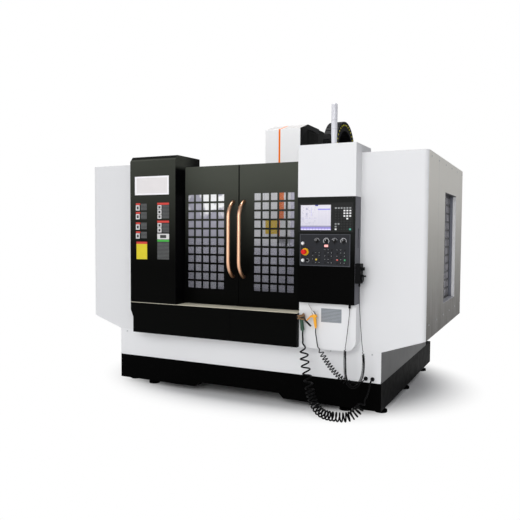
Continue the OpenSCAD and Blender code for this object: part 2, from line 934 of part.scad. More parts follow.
module pendant_knob(place) {
    p = place + [run_gap, 0, 0];
    rod_x(p, small_knob_d, small_knob_h / 2);
    translate(p - [0, small_knob_d * pointer_share / 2, small_knob_d / 2])
        cube([small_knob_h, small_knob_d * pointer_share, small_knob_d]);
    rod_x(p - [pendant_shaft_l, 0, 0], pendant_shaft_d, pendant_shaft_l);
}

module axis_knob() {
    color("#202123") pendant_knob(pendant_places[1]);
}

module rate_knob() {
    color("#202123") pendant_knob(pendant_places[2]);
}

// Hooks, guns and hose fittings on the lower housing

gun_reach = 44;
gun_y = y_low - gun_reach;
hook_d = 10;
hook_plate = 36;
coolant_edge = 52;
coolant_drop = 257;
air_edge = 172;
air_drop = 215;
coolant_x = house_x0 + coolant_edge;
coolant_z = panel_z0 - coolant_drop;
air_x = house_x0 + air_edge;
air_z = panel_z0 - air_drop;
handle_l = 96;
handle_d = 34;
gun_tilt = 8;
gun_head_d = 40;
gun_head_l = 64;
gun_nozzle_d = 18;
gun_nozzle_l = 42;
nozzle_tilt = 40;
nipple_d = 16;
nipple_h = 14;
neck_share = 0.8;
lever_t = 9;
lever_w = 20;
lever_l = 80;
lever_tilt = 48;
lever_pin_d = 8;
lever_boss_d = 16;
cheek_t = 4;
pin_set = 12;
air_head_l = 58;
air_tube_d = 7;
air_tube_l = 78;
air_handle_l = 104;
air_tilt = 32;
air_low_share = 0.7;
air_neck_share = 0.9;
trigger_l = 52;
trigger_tilt = 44;
air_hold_r = handle_d * (1 + air_low_share) / 4 + hook_d * handle_d * (1 - air_low_share) / air_head_l / 4;

// Middle of the head of a gun whose handle of length l stands on the point p
function gun_head(p, l) = p + [-l * sin(gun_tilt), 0, nipple_h + l * cos(gun_tilt)];

coolant_head = gun_head([coolant_x, gun_y, coolant_z], handle_l + gun_head_d / 2);
air_head = gun_head([air_x, gun_y, air_z], air_handle_l);
lever_pin = coolant_head + [gun_head_d / 2 + pin_set, 0, -gun_head_d / 2];
trigger_pin = air_head - [handle_d / 2 + pin_set, 0, handle_d / 2];

// Two cheeks and a pin that carry a lever, joined to the gun at the point from
module lever_cheeks(pin, from) {
    for (s = [-1, 1])
        let (y = pin[1] + s * (lever_w / 2 + run_gap + cheek_t / 2) - cheek_t / 2) {
            rod_y([pin[0], y, pin[2]], lever_boss_d, cheek_t);
            block([min(pin[0], from[0]), y, pin[2] - lever_boss_d / 2],
                [max(pin[0], from[0]), y + cheek_t, pin[2] + lever_boss_d / 2]);
        }
    rod_y(pin - [0, lever_w / 2 + run_gap + cheek_t / 2, 0], lever_pin_d,
        lever_w + 2 * run_gap + cheek_t);
}

// A lever of length l that hangs from its pin, turned by the angle a from straight down
module lever(pin, l, a) {
    translate(pin) rotate([0, a, 0]) difference() {
        union() {
            rod_y([0, -lever_w / 2, 0], lever_boss_d, lever_w);
            translate([-lever_t / 2, -lever_w / 2, -l])
                cube([lever_t, lever_w, l - (lever_boss_d + lever_pin_d) / 4]);
        }
        rod_y([0, -lever_w / 2 - overrun, 0], lever_pin_d + 2 * run_gap, lever_w + 2 * overrun);
    }
}

// Room round the boss of a lever
module lever_room(pin) {
    rod_y(pin - [0, lever_w / 2 + run_gap, 0], lever_boss_d + 2 * overrun, lever_w + 2 * run_gap);
}

module coolant_gun() {
    foot = [coolant_x, gun_y, coolant_z];
    color("#1f4a33") {
        difference() {
            union() {
                translate(foot) cylinder(h = nipple_h * 2, d = nipple_d);
                translate(foot + [0, 0, nipple_h]) rotate([0, -gun_tilt, 0])
                    cylinder(h = handle_l + gun_head_d / 4, d1 = handle_d, d2 = handle_d * neck_share);
                translate(coolant_head) rotate([0, 90 - gun_tilt, 0]) translate([0, 0, -gun_head_l / 2])
                    cylinder(h = gun_head_l, d = gun_head_d);
                translate(coolant_head) rotate([0, nozzle_tilt, 0])
                    cylinder(h = gun_nozzle_l, d = gun_nozzle_d);
            }
            lever_room(lever_pin);
        }
        lever_cheeks(lever_pin, coolant_head);
    }
}

module coolant_lever() {
    color("#1a1b1c") lever(lever_pin, lever_l, -lever_tilt);
}

module air_gun() {
    foot = [air_x, gun_y, air_z];
    color("#f0a21c") {
        difference() {
            union() {
                translate(foot) cylinder(h = nipple_h * 2, d = nipple_d);
                translate(foot + [0, 0, nipple_h]) rotate([0, -gun_tilt, 0])
                    cylinder(h = air_handle_l, d1 = handle_d * air_low_share, d2 = handle_d * air_neck_share);
                translate(air_head) rotate([0, -air_tilt, 0]) translate([0, 0, -air_head_l / 2])
                    cylinder(h = air_head_l, d1 = handle_d, d2 = handle_d * air_low_share);
                translate(air_head) rotate([0, -air_tilt, 0])
                    cylinder(h = air_head_l / 2 + air_tube_l, d = air_tube_d);
            }
            lever_room(trigger_pin);
        }
        lever_cheeks(trigger_pin, air_head);
    }
}

module air_trigger() {
    color("#e8941a") lever(trigger_pin, trigger_l, trigger_tilt);
}

module gun_hooks() {
    color("#a8abae")
        for (hold = [[coolant_head, gun_head_d / 2], [air_head, air_hold_r]])
            let (p = hold[0], y = p[1] + hold[1]) {
                translate([p[0] - hook_plate / 2, y_low - sheet_t, p[2] - hook_plate])
                    cube([hook_plate, sheet_t, hook_plate * 2]);
                rod_y([p[0], y, p[2]], hook_d, y_low - y);
            }
}

fitting_edge = 74;
fitting_pitch = 58;
fitting_rise = 32;
fitting_x1 = skirt_x - fitting_edge;
fitting_x2 = fitting_x1 - fitting_pitch;
fitting_z = base_top_z + fitting_rise;
fitting_d = 22;
fitting_l = 26;
fitting_flange = 34;
gland_edge = 49;
gland_x = house_x1 - gland_edge;
gland_set = 25;
gland_y = y_front + gland_set;
gland_d = 20;
gland_h = 30;

module hose_fittings() {
    color("#2c2d2f") {
        for (x = [fitting_x1, fitting_x2]) {
            rod_y([x, y_face - fitting_l, fitting_z], fitting_d, fitting_l);
            rod_y([x, y_face - fitting_l / 3, fitting_z], fitting_flange, fitting_l / 3);
        }
        translate([gland_x, gland_y, panel_z0 - gland_h]) cylinder(h = gland_h, d = gland_d);
    }
}

// Free hoses and the pendant cord: points of each route with the diameter there

coolant_route = [[716, -1238, 700, 12], [716, -1238, 670, 12], [720, -1240, 630, 12], [726, -1246, 590, 16],
    [732, -1252, 550, 76], [739, -1256, 500, 84], [748, -1260, 440, 84], [762, -1266, 380, 84],
    [778, -1272, 320, 84], [794, -1280, 260, 84], [812, -1290, 200, 84], [838, -1304, 140, 84],
    [874, -1324, 92, 84], [924, -1346, 58, 84], [986, -1364, 44, 84], [1052, -1372, 44, 84],
    [1118, -1366, 44, 84], [1178, -1344, 54, 84], [1222, -1306, 86, 84], [1250, -1262, 130, 80],
    [1270, -1226, 168, 16], [1286, -1202, 214, 12], [1294, -1186, 258, 12], [1297, -1168, 292, 12],
    [1298, -1150, 312, 12], [1298, -1134, 322, 12], [1298, -1120, 322, 12]];

air_route = [[836, -1238, 742, 8], [836, -1238, 700, 8], [844, -1238, 650, 8], [852, -1238, 604, 8],
    [864, -1238, 568, 16], [884, -1236, 540, 48], [916, -1234, 492, 50], [956, -1234, 438, 50],
    [1000, -1234, 390, 50], [1046, -1232, 350, 50], [1092, -1226, 318, 50], [1136, -1208, 298, 48],
    [1172, -1188, 292, 14], [1202, -1170, 296, 8], [1224, -1152, 306, 8], [1236, -1138, 316, 8],
    [1240, -1128, 322, 8], [1240, -1120, 322, 8]];

pendant_route = [[1128, -1218, 927, 7], [1128, -1218, 890, 7], [1122, -1222, 820, 7], [1114, -1230, 720, 7],
    [1106, -1244, 620, 7], [1104, -1254, 580, 24], [1106, -1262, 520, 27], [1110, -1268, 440, 27],
    [1118, -1274, 370, 27], [1134, -1278, 316, 27], [1160, -1280, 286, 27], [1192, -1280, 282, 27],
    [1222, -1278, 302, 27], [1246, -1272, 346, 27], [1262, -1264, 410, 27], [1264, -1254, 490, 27],
    [1256, -1240, 560, 24], [1246, -1228, 600, 7], [1230, -1206, 680, 7], [1216, -1194, 800, 7],
    [1206, -1189, 920, 7], [1200, -1188, 1040, 7], [1200, -1188, 1110, 7]];

hose_sides = 10;

function unit(v) = v / norm(v);

function tangents(p) = [for (i = [0:len(p) - 1]) unit(p[min(i + 1, len(p) - 1)] - p[max(i - 1, 0)])];

// Carries the first normal along the tangents without twist
function normals(t, i = 0, n = [1, 0, 0]) =
    i == len(t) ? [] : let (m = unit(n - (n * t[i]) * t[i])) concat([m], normals(t, i + 1, m));

// Closed tube round a route of points with diameters
module hose(route, sides) {
    places = [for (p = route) [p[0], p[1], p[2]]];
    t = tangents(places);
    n = normals(t);
    count = len(route);
    rings = [for (i = [0:count - 1], k = [0:sides - 1])
        let (a = k * 360 / sides, b = cross(t[i], n[i]))
            places[i] + route[i][3] / 2 * (cos(a) * n[i] + sin(a) * b)];
    walls = [for (i = [0:count - 2], k = [0:sides - 1])
        let (j = (k + 1) % sides, a = i * sides, b = a + sides)
            [a + k, b + k, b + j, a + j]];
    caps = [[for (k = [0:sides - 1]) k],
        [for (k = [sides - 1:-1:0]) (count - 1) * sides + k]];
    polyhedron(rings, concat(walls, caps), convexity = 8);
}

module coolant_hose() {
    color("#141515") hose(coolant_route, hose_sides);
}

module air_hose() {
    color("#161718") hose(air_route, hose_sides);
}

module pendant_cord() {
    color("#1b1c1d") hose(pendant_route, hose_sides);
}

// Saddle on the Y ways with the X runners on top

module runner_y(x, y, z) {
    difference() {
        block([x - runner_w / 2, y - runner_l / 2, z + runner_seat],
            [x + runner_w / 2, y + runner_l / 2, z + runner_h]);
        block([x - rail_w / 2 - run_gap, y - runner_l / 2 - overrun, z - overrun],
            [x + rail_w / 2 + run_gap, y + runner_l / 2 + overrun, z + rail_h + run_gap]);
    }
}

module runner_x(x, y, z) {
    difference() {
        block([x - runner_l / 2, y - runner_w / 2, z], [x + runner_l / 2, y + runner_w / 2,
            z + runner_h - runner_seat]);
        block([x - runner_l / 2 - overrun, y - rail_w / 2 - run_gap, z + runner_h - rail_h - run_gap],
            [x + runner_l / 2 + overrun, y + rail_w / 2 + run_gap, z + runner_h + overrun]);
    }
}

module saddle() {
    color("#9ba0a3")
        difference() {
            union() {
                block([-saddle_l / 2, spindle_y - saddle_w / 2, saddle_z0],
                    [saddle_l / 2, spindle_y + saddle_w / 2, saddle_z1]);
                for (x = [-y_rail_x, y_rail_x], y = [-saddle_runner_y, saddle_runner_y])
                    runner_y(x, spindle_y + y, bed_z);
                for (x = [-x_runner_x, x_runner_x], y = [-x_rail_y, x_rail_y])
                    runner_x(x, spindle_y + y, saddle_z1);
                block([-nut_d / 2, spindle_y - nut_d, y_screw_z - nut_d / 2],
                    [nut_d / 2, spindle_y + nut_d, saddle_z0]);
                block([-nut_d, spindle_y - nut_d / 2, saddle_z1],
                    [nut_d, spindle_y + nut_d / 2, table_z0 - runner_seat]);
            }
            rod_y([0, spindle_y - nut_d - overrun, y_screw_z], screw_d + 2 * run_gap,
                2 * nut_d + 2 * overrun);
            for (s = [-1, 1])
                block([s > 0 ? nut_d : -saddle_l / 2 - overrun, spindle_y - motor_w / 2 - motor_room,
                    saddle_z1 - saddle_dip], [s > 0 ? saddle_l / 2 + overrun : -nut_d,
                    spindle_y + motor_w / 2 + motor_room, saddle_z1 + overrun]);
            block([-nut_d - overrun, spindle_y - screw_d / 2 - run_gap, x_screw_z - screw_d / 2 - run_gap],
                [nut_d + overrun, spindle_y + screw_d / 2 + run_gap, table_z0]);
        }
}

slot_count = 5;
slot_pitch = 100;
tee_w = 18;
tee_d = 24;
tee_foot_w = 30;
tee_foot_d = 14;
gutter_w = 20;
gutter_d = 14;

module tee_slot(y) {
    along_x(-table_l / 2 - overrun, table_l / 2 + overrun)
        polygon([[y - tee_w / 2, table_z + overrun], [y - tee_w / 2, table_z - tee_d],
            [y - tee_foot_w / 2, table_z - tee_d], [y - tee_foot_w / 2, table_z - tee_d - tee_foot_d],
            [y + tee_foot_w / 2, table_z - tee_d - tee_foot_d], [y + tee_foot_w / 2, table_z - tee_d],
            [y + tee_w / 2, table_z - tee_d], [y + tee_w / 2, table_z + overrun]]);
}

module table() {
    bearing_w = block_l;
    color("#b4b8bb") {
        difference() {
            block([-table_l / 2, spindle_y - table_w / 2, table_z0],
                [table_l / 2, spindle_y + table_w / 2, table_z]);
            for (i = [0:slot_count - 1]) tee_slot(spindle_y + (i - (slot_count - 1) / 2) * slot_pitch);
            for (s = [-1, 1])
                let (y = spindle_y + s * (table_w / 2 - gutter_w))
                    block([-table_l / 2 + gutter_w, y - gutter_w / 2, table_z - gutter_d],
                        [table_l / 2 - gutter_w, y + gutter_w / 2, table_z + overrun]);
        }
        for (y = [-x_rail_y, x_rail_y])
            block([-table_l / 2, spindle_y + y - rail_w / 2, table_z0 - rail_h],
                [table_l / 2, spindle_y + y + rail_w / 2, table_z0]);
        for (x = [-table_l / 2, table_l / 2 - bearing_w])
            difference() {
                block([x, spindle_y - block_w / 2, x_screw_z - screw_d / 2 - runner_seat],
                    [x + bearing_w, spindle_y + block_w / 2, table_z0]);
                rod_x([x - overrun, spindle_y, x_screw_z], screw_d * screw_end_share + 2 * run_gap,
                    bearing_w + 2 * overrun);
            }
    }
}

// Axis screws: a threaded length between two journals
module screw_bar(l, end_l) {
    cylinder(h = end_l, d = screw_d * screw_end_share);
    translate([0, 0, end_l]) cylinder(h = l - 2 * end_l, d = screw_d);
    translate([0, 0, l - end_l]) cylinder(h = end_l, d = screw_d * screw_end_share);
}

module y_screw() {
    l = column_y - (y_face + bed_set);
    color("#c4c7c9")
        translate([0, column_y, y_screw_z]) rotate([90, 0, 0]) screw_bar(l, block_l + run_gap);
}

module x_screw() {
    color("#c4c7c9")
        translate([-table_l / 2, spindle_y, x_screw_z]) rotate([0, 90, 0])
            screw_bar(table_l, block_l + run_gap);
}

module z_screw() {
    l = z_block_z1 + block_l - z_block_z0;
    color("#c4c7c9") translate([0, z_screw_y, z_block_z0]) screw_bar(l, block_l + run_gap);
}

// Servo motors: a flange, a square body and a round encoder cap along +Z
motor_l = 150;
flange_t = 14;
cap_l = 40;
cap_share = 0.75;

module servo_motor() {
    translate([-motor_w / 2, -motor_w / 2, run_gap]) cube([motor_w, motor_w, flange_t]);
    translate([-motor_w * cap_share / 2, -motor_w * cap_share / 2, flange_t])
        cube([motor_w * cap_share, motor_w * cap_share, motor_l]);
    translate([0, 0, flange_t + motor_l]) cylinder(h = cap_l, d = motor_w * cap_share);
}

module axis_motors() {
    color("#33353a") {
        translate([0, y_face + bed_set, y_screw_z]) rotate([90, 0, 0]) servo_motor();
        translate([0, z_screw_y, column_top_z]) servo_motor();
    }
}

module x_motor() {
    color("#33353a") translate([table_l / 2, spindle_y, x_screw_z]) rotate([0, 90, 0]) servo_motor();
}

// Spindle head, spindle and covers

head_y0 = spindle_y - head_front;
head_chin = 90;
z_nut_z = head_z1 - nut_d - fold_w;

module spindle_head() {
    color("#8f9497")
        difference() {
            union() {
                along_x(-head_body_w / 2, head_body_w / 2)
                    polygon([[head_y0, head_z0 + head_chin], [head_y0, head_z1], [z_runner_y, head_z1],
                        [z_runner_y, head_z0 - head_chin], [z_runner_y - fold_w, head_z0 - head_chin],
                        [spindle_y + head_front, head_z0], [head_y0 + head_chin, head_z0]]);
                translate([0, spindle_y, head_z0 - cartridge_h]) cylinder(h = cartridge_h, d = cartridge_d);
                for (s = [-1, 1])
                    block([s * z_rail_x - runner_w / 2, z_runner_y - sheet_t, head_z0 - head_chin],
                        [s * z_rail_x + runner_w / 2, column_y - runner_seat, head_z1]);
                block([-z_rail_x, z_runner_y - fold_w, head_z0 - head_chin], [z_rail_x, z_runner_y, head_z1]);
                block([-nut_d / 2, z_runner_y, z_nut_z], [nut_d / 2, column_y + nut_d / 2, z_nut_z + nut_d]);
            }
            for (s = [-1, 1])
                block([s * z_rail_x - rail_w / 2 - run_gap, column_y - rail_h - run_gap,
                    head_z0 - head_chin - overrun],
                    [s * z_rail_x + rail_w / 2 + run_gap, column_y + overrun, head_z1 + overrun]);
            translate([0, z_screw_y, z_nut_z - overrun])
                cylinder(h = nut_d + 2 * overrun, d = screw_d + 2 * run_gap);
            translate([0, spindle_y, head_z0 - cartridge_h - overrun])
                cylinder(h = cartridge_h + head_h, d = spindle_d + 2 * run_gap);
        }
}

taper_d = 44.45;
taper_l = 68;
taper_end_d = 25;
dog_w = 16;
dog_h = 8;
spindle_l = 420;
nose_flange_h = nose_h - run_gap;

module spindle() {
    color("#d2d4d5")
        translate([0, spindle_y, nose_z]) {
            difference() {
                union() {
                    cylinder(h = spindle_l, d = spindle_d);
                    cylinder(h = nose_flange_h, d = spindle_d + 2 * dog_h);
                }
                translate([0, 0, -run_gap]) cylinder(h = taper_l, d1 = taper_d, d2 = taper_end_d);
                cylinder(h = spindle_l / 2, d = taper_end_d);
            }
            for (s = [-1, 1])
                translate([s * (spindle_d / 2 - dog_w / 2) - dog_w / 2, -dog_w / 2, -dog_h])
                    cube([dog_w, dog_w, dog_h]);
        }
}

fin_count = 9;
fin_t = 14;
fin_d = 8;
motor_y0 = spindle_y - cover_front + sheet_t;
motor_y1 = motor_y0 + motor_d;

module motor_outline(inset) {
    top = head_top_z - sheet_t - inset;
    polygon([[motor_y0 + inset, head_z1 - inset], [motor_y0 + inset, top - cover_slope_z],
        [motor_y0 + cover_slope_y, top], [motor_y1 - inset, top], [motor_y1 - inset, head_z1 - inset]]);
}

module spindle_motor() {
    half = head_w / 2 - motor_inset;
    fin_pitch = (motor_y1 - motor_y0 - cover_slope_y) / fin_count;
    color("#191a1a") {
        block([half - motor_wall, chain_y0, chain_low_z - arm_t], [chain_x1, chain_y0 + chain_t, chain_low_z]);
        both_sides()
            block([half - motor_wall, motor_y1 - motor_wall, head_z1 + fold_w],
                [half, column_y - rail_h - motor_room, head_top_z - sheet_t]);
        difference() {
            along_x(-half, half) motor_outline(0);
            along_x(-half + motor_wall, half - motor_wall) motor_outline(motor_wall);
            both_sides()
                for (i = [0:fin_count - 1])
                    block([half - fin_d, motor_y0 + cover_slope_y + i * fin_pitch, head_z1 + fold_w],
                        [half + overrun, motor_y0 + cover_slope_y + i * fin_pitch + fin_t,
                            head_top_z - cover_slope_z]);
        }
    }
}

// White head cover: front and sloped top with notched side flanges
flange_w = 50;

module head_outline(inset, past) {
    y0 = spindle_y - cover_front + inset;
    y1 = spindle_y - cover_front + cover_d;
    top = head_top_z - inset;
    polygon([[y0, cover_z0 - past], [y0, top - cover_slope_z], [y0 + cover_slope_y, top],
        [y1 + past, top], [y1 + past, cover_z0 - past]]);
}

module head_cover() {
    y0 = spindle_y - cover_front;
    z1 = head_top_z - cover_slope_z;
    color("#e9eaec")
        difference() {
            along_x(-head_w / 2, head_w / 2) head_outline(0, 0);
            along_x(-head_w / 2 + sheet_t, head_w / 2 - sheet_t) head_outline(sheet_t, overrun);
            along_x(-head_w, head_w)
                polygon([[y0 + flange_w, cover_z0 - overrun], [y0 + flange_w, z1 - 2 * flange_w],
                    [y0 + 2 * flange_w, z1 - flange_w], [y0 + cover_slope_y, head_top_z - flange_w],
                    [y0 + cover_d + overrun, head_top_z - flange_w],
                    [y0 + cover_d + overrun, cover_z0 - overrun]]);
        }
}

// Cable carrier: a link chain that hangs from an arch between the column and the head

chain_x1 = 550;
chain_d = 155;
chain_x0 = chain_x1 - chain_d;
chain_set = 1164;
chain_reach = 660;
chain_y0 = y_face + chain_set;
chain_y1 = chain_y0 + chain_reach;
chain_t = 100;
chain_top_z = 2782;
chain_low_z = 2080;
arm_t = 16;
link_gap = 5;
link_depth = 6;
pin_d = 14;
pin_h = 3;
arch_links = 12;
leg_links = 12;

module chain_link_cut(r0) {
    translate([r0 + chain_t - link_depth, -link_gap / 2, -overrun])
        cube([link_depth + overrun, link_gap, chain_d + 2 * overrun]);
}

module cable_carrier() {
    r1 = chain_reach / 2;
    r0 = r1 - chain_t;
    leg = chain_top_z - r1 - chain_low_z;
    pitch = leg / leg_links;
    color("#151616")
        translate([chain_x0, chain_y0 + r1, chain_top_z - r1]) rotate([90, 0, 90]) {
            difference() {
                union() {
                    rotate_extrude(angle = 180) translate([r0, 0]) square([chain_t, chain_d]);
                    for (x = [-r1, r0]) translate([x, -leg, 0]) cube([chain_t, leg, chain_d]);
                }
                for (i = [0:arch_links]) rotate([0, 0, i * 180 / arch_links]) chain_link_cut(r0);
                for (i = [1:leg_links - 1]) translate([0, -i * pitch, 0]) {
                    chain_link_cut(r0);
                    mirror([1, 0, 0]) chain_link_cut(r0);
                }
            }
            for (i = [0:arch_links - 1])
                rotate([0, 0, (i + 1 / 2) * 180 / arch_links])
                    translate([r0 + chain_t / 3, 0, -pin_h]) cylinder(h = chain_d + 2 * pin_h, d = pin_d);
        }
}

// Electrical cabinet behind the right wing, with a hinged door and the main switch

elec_x0 = 600;
elec_z0 = 560;
elec_wall = 12;
switch_d = 70;
switch_share = [0.16, 0.62];
hinge_d = 18;
hinge_l = 90;
hinge_shares = [0.12, 0.5, 0.88];
elec_x1 = elec_x0 + elec_w;
elec_z1 = elec_z0 + elec_h;
hinge_y = elec_y1 + elec_door_t / 2;
hinge_x = elec_x1 + hinge_d / 2;
leaf_t = 5;

module rear_cabinet() {
    color("#d9dade") {
        difference() {
            block([elec_x0, y_wing, elec_z0], [elec_x1, elec_y1 - run_gap, elec_z1]);
            block([elec_x0 + elec_wall, y_wing + elec_wall, elec_z0 + elec_wall],
                [elec_x1 - elec_wall, elec_y1 + overrun, elec_z1 - elec_wall]);
        }
        for (s = hinge_shares)
            let (z = elec_z0 + elec_h * s) {
                translate([hinge_x, hinge_y, z]) cylinder(h = hinge_l, d = hinge_d);
                block([elec_x1, elec_y1 - run_gap - hinge_l / 2, z],
                    [elec_x1 + leaf_t, elec_y1 - run_gap, z + hinge_l]);
                block([hinge_x - leaf_t / 2, elec_y1 - run_gap - leaf_t, z],
                    [hinge_x + leaf_t / 2, hinge_y, z + hinge_l]);
                block([elec_x1, elec_y1 - run_gap - leaf_t, z],
                    [hinge_x + leaf_t / 2, elec_y1 - run_gap, z + hinge_l]);
            }
    }
}

// Place of the main switch on the outer face of the cabinet door
function switch_place() = [elec_x0 + elec_w * switch_share[0], elec_y1 + elec_door_t,
    elec_z0 + elec_h * switch_share[1]];

module rear_door() {
    p = switch_place();
    color("#dcdde1") {
        difference() {
            union() {
                difference() {
                    block([elec_x0, elec_y1, elec_z0], [elec_x1 - run_gap, elec_y1 + elec_door_t, elec_z1]);
                    block([elec_x0 + elec_wall, elec_y1 - overrun, elec_z0 + elec_wall],
                        [elec_x1 - elec_wall, elec_y1 + elec_door_t - sheet_t, elec_z1 - elec_wall]);
                }
                rod_y(p, switch_d + 2 * switch_plate, switch_plate);
                rod_y(p - [0, elec_door_t, 0], switch_d, elec_door_t);
            }
            rod_y(p - [0, elec_door_t + overrun, 0], shaft_d + 2 * run_gap,
                elec_door_t + switch_plate + 2 * overrun);
        }
    }
}

module main_switch() {
    p = switch_place() + [0, switch_plate, 0];
    bar_w = switch_d * pointer_share;
    color("#b3261e") {
        rod_y(p + [0, run_gap, 0], switch_d, switch_h / 2);
        translate(p + [-bar_w / 2, run_gap, -switch_d / 2]) cube([bar_w, switch_h - run_gap, switch_d]);
        rod_y(p - [0, elec_door_t, 0], shaft_d, elec_door_t + run_gap);
    }
}

base();
levelling_feet();
skirt();
column();
left_wing();
right_wing();
left_side_window();
right_side_window();
side_glass();
pocket_cover();
apron();
sill();
door_track();
left_door();
right_door();
left_door_glass();
right_door_glass();
left_handle();
right_handle();
control_housing();
control_panel();
display();
operator_plate();
emergency_stop();
start_button();
hold_button();
key_switch();
mode_knob();
feed_knob();
rapid_knob();
spindle_knob();
signal_lamp();
pendant();
handwheel();
axis_knob();
rate_knob();
coolant_gun();
coolant_lever();
air_gun();
air_trigger();
gun_hooks();
hose_fittings();
coolant_hose();
air_hose();
pendant_cord();
saddle();
table();
spindle_head();
spindle();
spindle_motor();
head_cover();
cable_carrier();
x_screw();
y_screw();
z_screw();
axis_motors();
x_motor();
rear_cabinet();
rear_door();
main_switch();
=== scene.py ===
"""Looks, cords and stage of an enclosed vertical milling machine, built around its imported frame."""

import math

import bmesh
import bpy
from mathutils import Matrix, Vector


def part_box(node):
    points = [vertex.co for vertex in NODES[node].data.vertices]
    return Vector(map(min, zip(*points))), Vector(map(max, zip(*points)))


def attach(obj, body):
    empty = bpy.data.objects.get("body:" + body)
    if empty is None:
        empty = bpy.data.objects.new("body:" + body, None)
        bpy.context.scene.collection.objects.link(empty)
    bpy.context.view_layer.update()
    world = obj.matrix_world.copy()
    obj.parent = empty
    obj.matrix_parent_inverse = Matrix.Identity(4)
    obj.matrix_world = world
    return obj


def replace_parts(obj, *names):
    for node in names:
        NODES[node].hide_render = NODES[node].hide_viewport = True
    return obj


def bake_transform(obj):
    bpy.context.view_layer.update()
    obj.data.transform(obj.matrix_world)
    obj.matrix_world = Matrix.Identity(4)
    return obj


bl_info = {
    "name": "Enclosed milling machine",
    "version": (1, 0, 0),
    "blender": (4, 5, 0),
    "location": "3D View > Sidebar > Milling machine",
    "description": "Finishes, small fittings, hoses and stage of an enclosed milling machine",
    "category": "Object",
}

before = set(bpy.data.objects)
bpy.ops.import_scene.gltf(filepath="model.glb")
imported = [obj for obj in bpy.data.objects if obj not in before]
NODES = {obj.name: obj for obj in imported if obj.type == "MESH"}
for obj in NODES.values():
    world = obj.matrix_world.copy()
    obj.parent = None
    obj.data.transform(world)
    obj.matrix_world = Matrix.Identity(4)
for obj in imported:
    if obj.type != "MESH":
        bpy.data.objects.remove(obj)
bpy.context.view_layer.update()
MM = 0.001

# Sizes and places that several pieces share, most of them read from the frame
SHEET_T = 4 * MM
FACE_SKIN = 2 * MM
PANEL_LOW, PANEL_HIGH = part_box("control_panel")
PLATE_LOW, PLATE_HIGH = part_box("operator_plate")
UNIT_LOW, UNIT_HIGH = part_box("display")
PANEL_FACE = PANEL_LOW.y
PLATE_T = 4 * MM
PLATE_RIM = 5 * MM
PLATE_FACE = PANEL_FACE - PLATE_T
PLATE_W = PLATE_HIGH.x - PLATE_LOW.x
PLATE_H = PLATE_HIGH.z - PLATE_LOW.z


def on_plate(share_x, share_z):
    """A point on the operator plate's face, from shares of its width and height."""
    return Vector((PLATE_LOW.x + share_x * PLATE_W, PLATE_FACE, PLATE_LOW.z + share_z * PLATE_H))


# Node trees


class Tap:
    """An output socket that takes part in Python expressions."""

    def __init__(self, graph, socket):
        self.graph = graph
        self.socket = socket

    def other(self, output):
        """Another output of the same node."""
        return Tap(self.graph, self.socket.node.outputs[output])

    def math(self, operation, *others):
        """The result of a Math node on this value and others."""
        values = {i: v for i, v in enumerate((self, *others))}
        return self.graph.node("ShaderNodeMath", {"operation": operation}, values)

    def __add__(self, other):
        return self.math("ADD", other)

    __radd__ = __add__

    def __mul__(self, other):
        return self.math("MULTIPLY", other)

    __rmul__ = __mul__

    def __sub__(self, other):
        return self.math("SUBTRACT", other)

    def __rsub__(self, other):
        return self.math("MULTIPLY", -1.0).math("ADD", other)

    def __gt__(self, other):
        return self.math("GREATER_THAN", other)

    def __lt__(self, other):
        return self.math("LESS_THAN", other)

    def __abs__(self):
        return self.math("ABSOLUTE")

    def between(self, low, high):
        """1 where this value lies between two limits."""
        return (self > low) * (self < high)

    def ramp(self, low, high, first=0.0, last=1.0):
        """The first value up to low, the last from high, and a smooth change between."""
        return self.graph.node(
            "ShaderNodeMapRange",
            {"interpolation_type": "SMOOTHSTEP", "clamp": True},
            {"Value": self, "From Min": low, "From Max": high, "To Min": first, "To Max": last},
        )


class Graph:
    """A node tree that is filled by values and Taps."""

    def __init__(self, tree):
        self.tree = tree

    def put(self, socket, value):
        """Gives a socket a value, or the link that a Tap stands for."""
        if isinstance(value, Tap):
            self.tree.links.new(value.socket, socket)
        else:
            socket.default_value = value

    def node(self, kind, settings, sockets, output=0):
        """Adds a node, sets it up, fills its sockets and returns one output."""
        made = self.tree.nodes.new(kind)
        for key, value in settings.items():
            setattr(made, key, value)
        for key, value in sockets.items():
            self.put(made.inputs[key], value)
        return Tap(self, made.outputs[output])


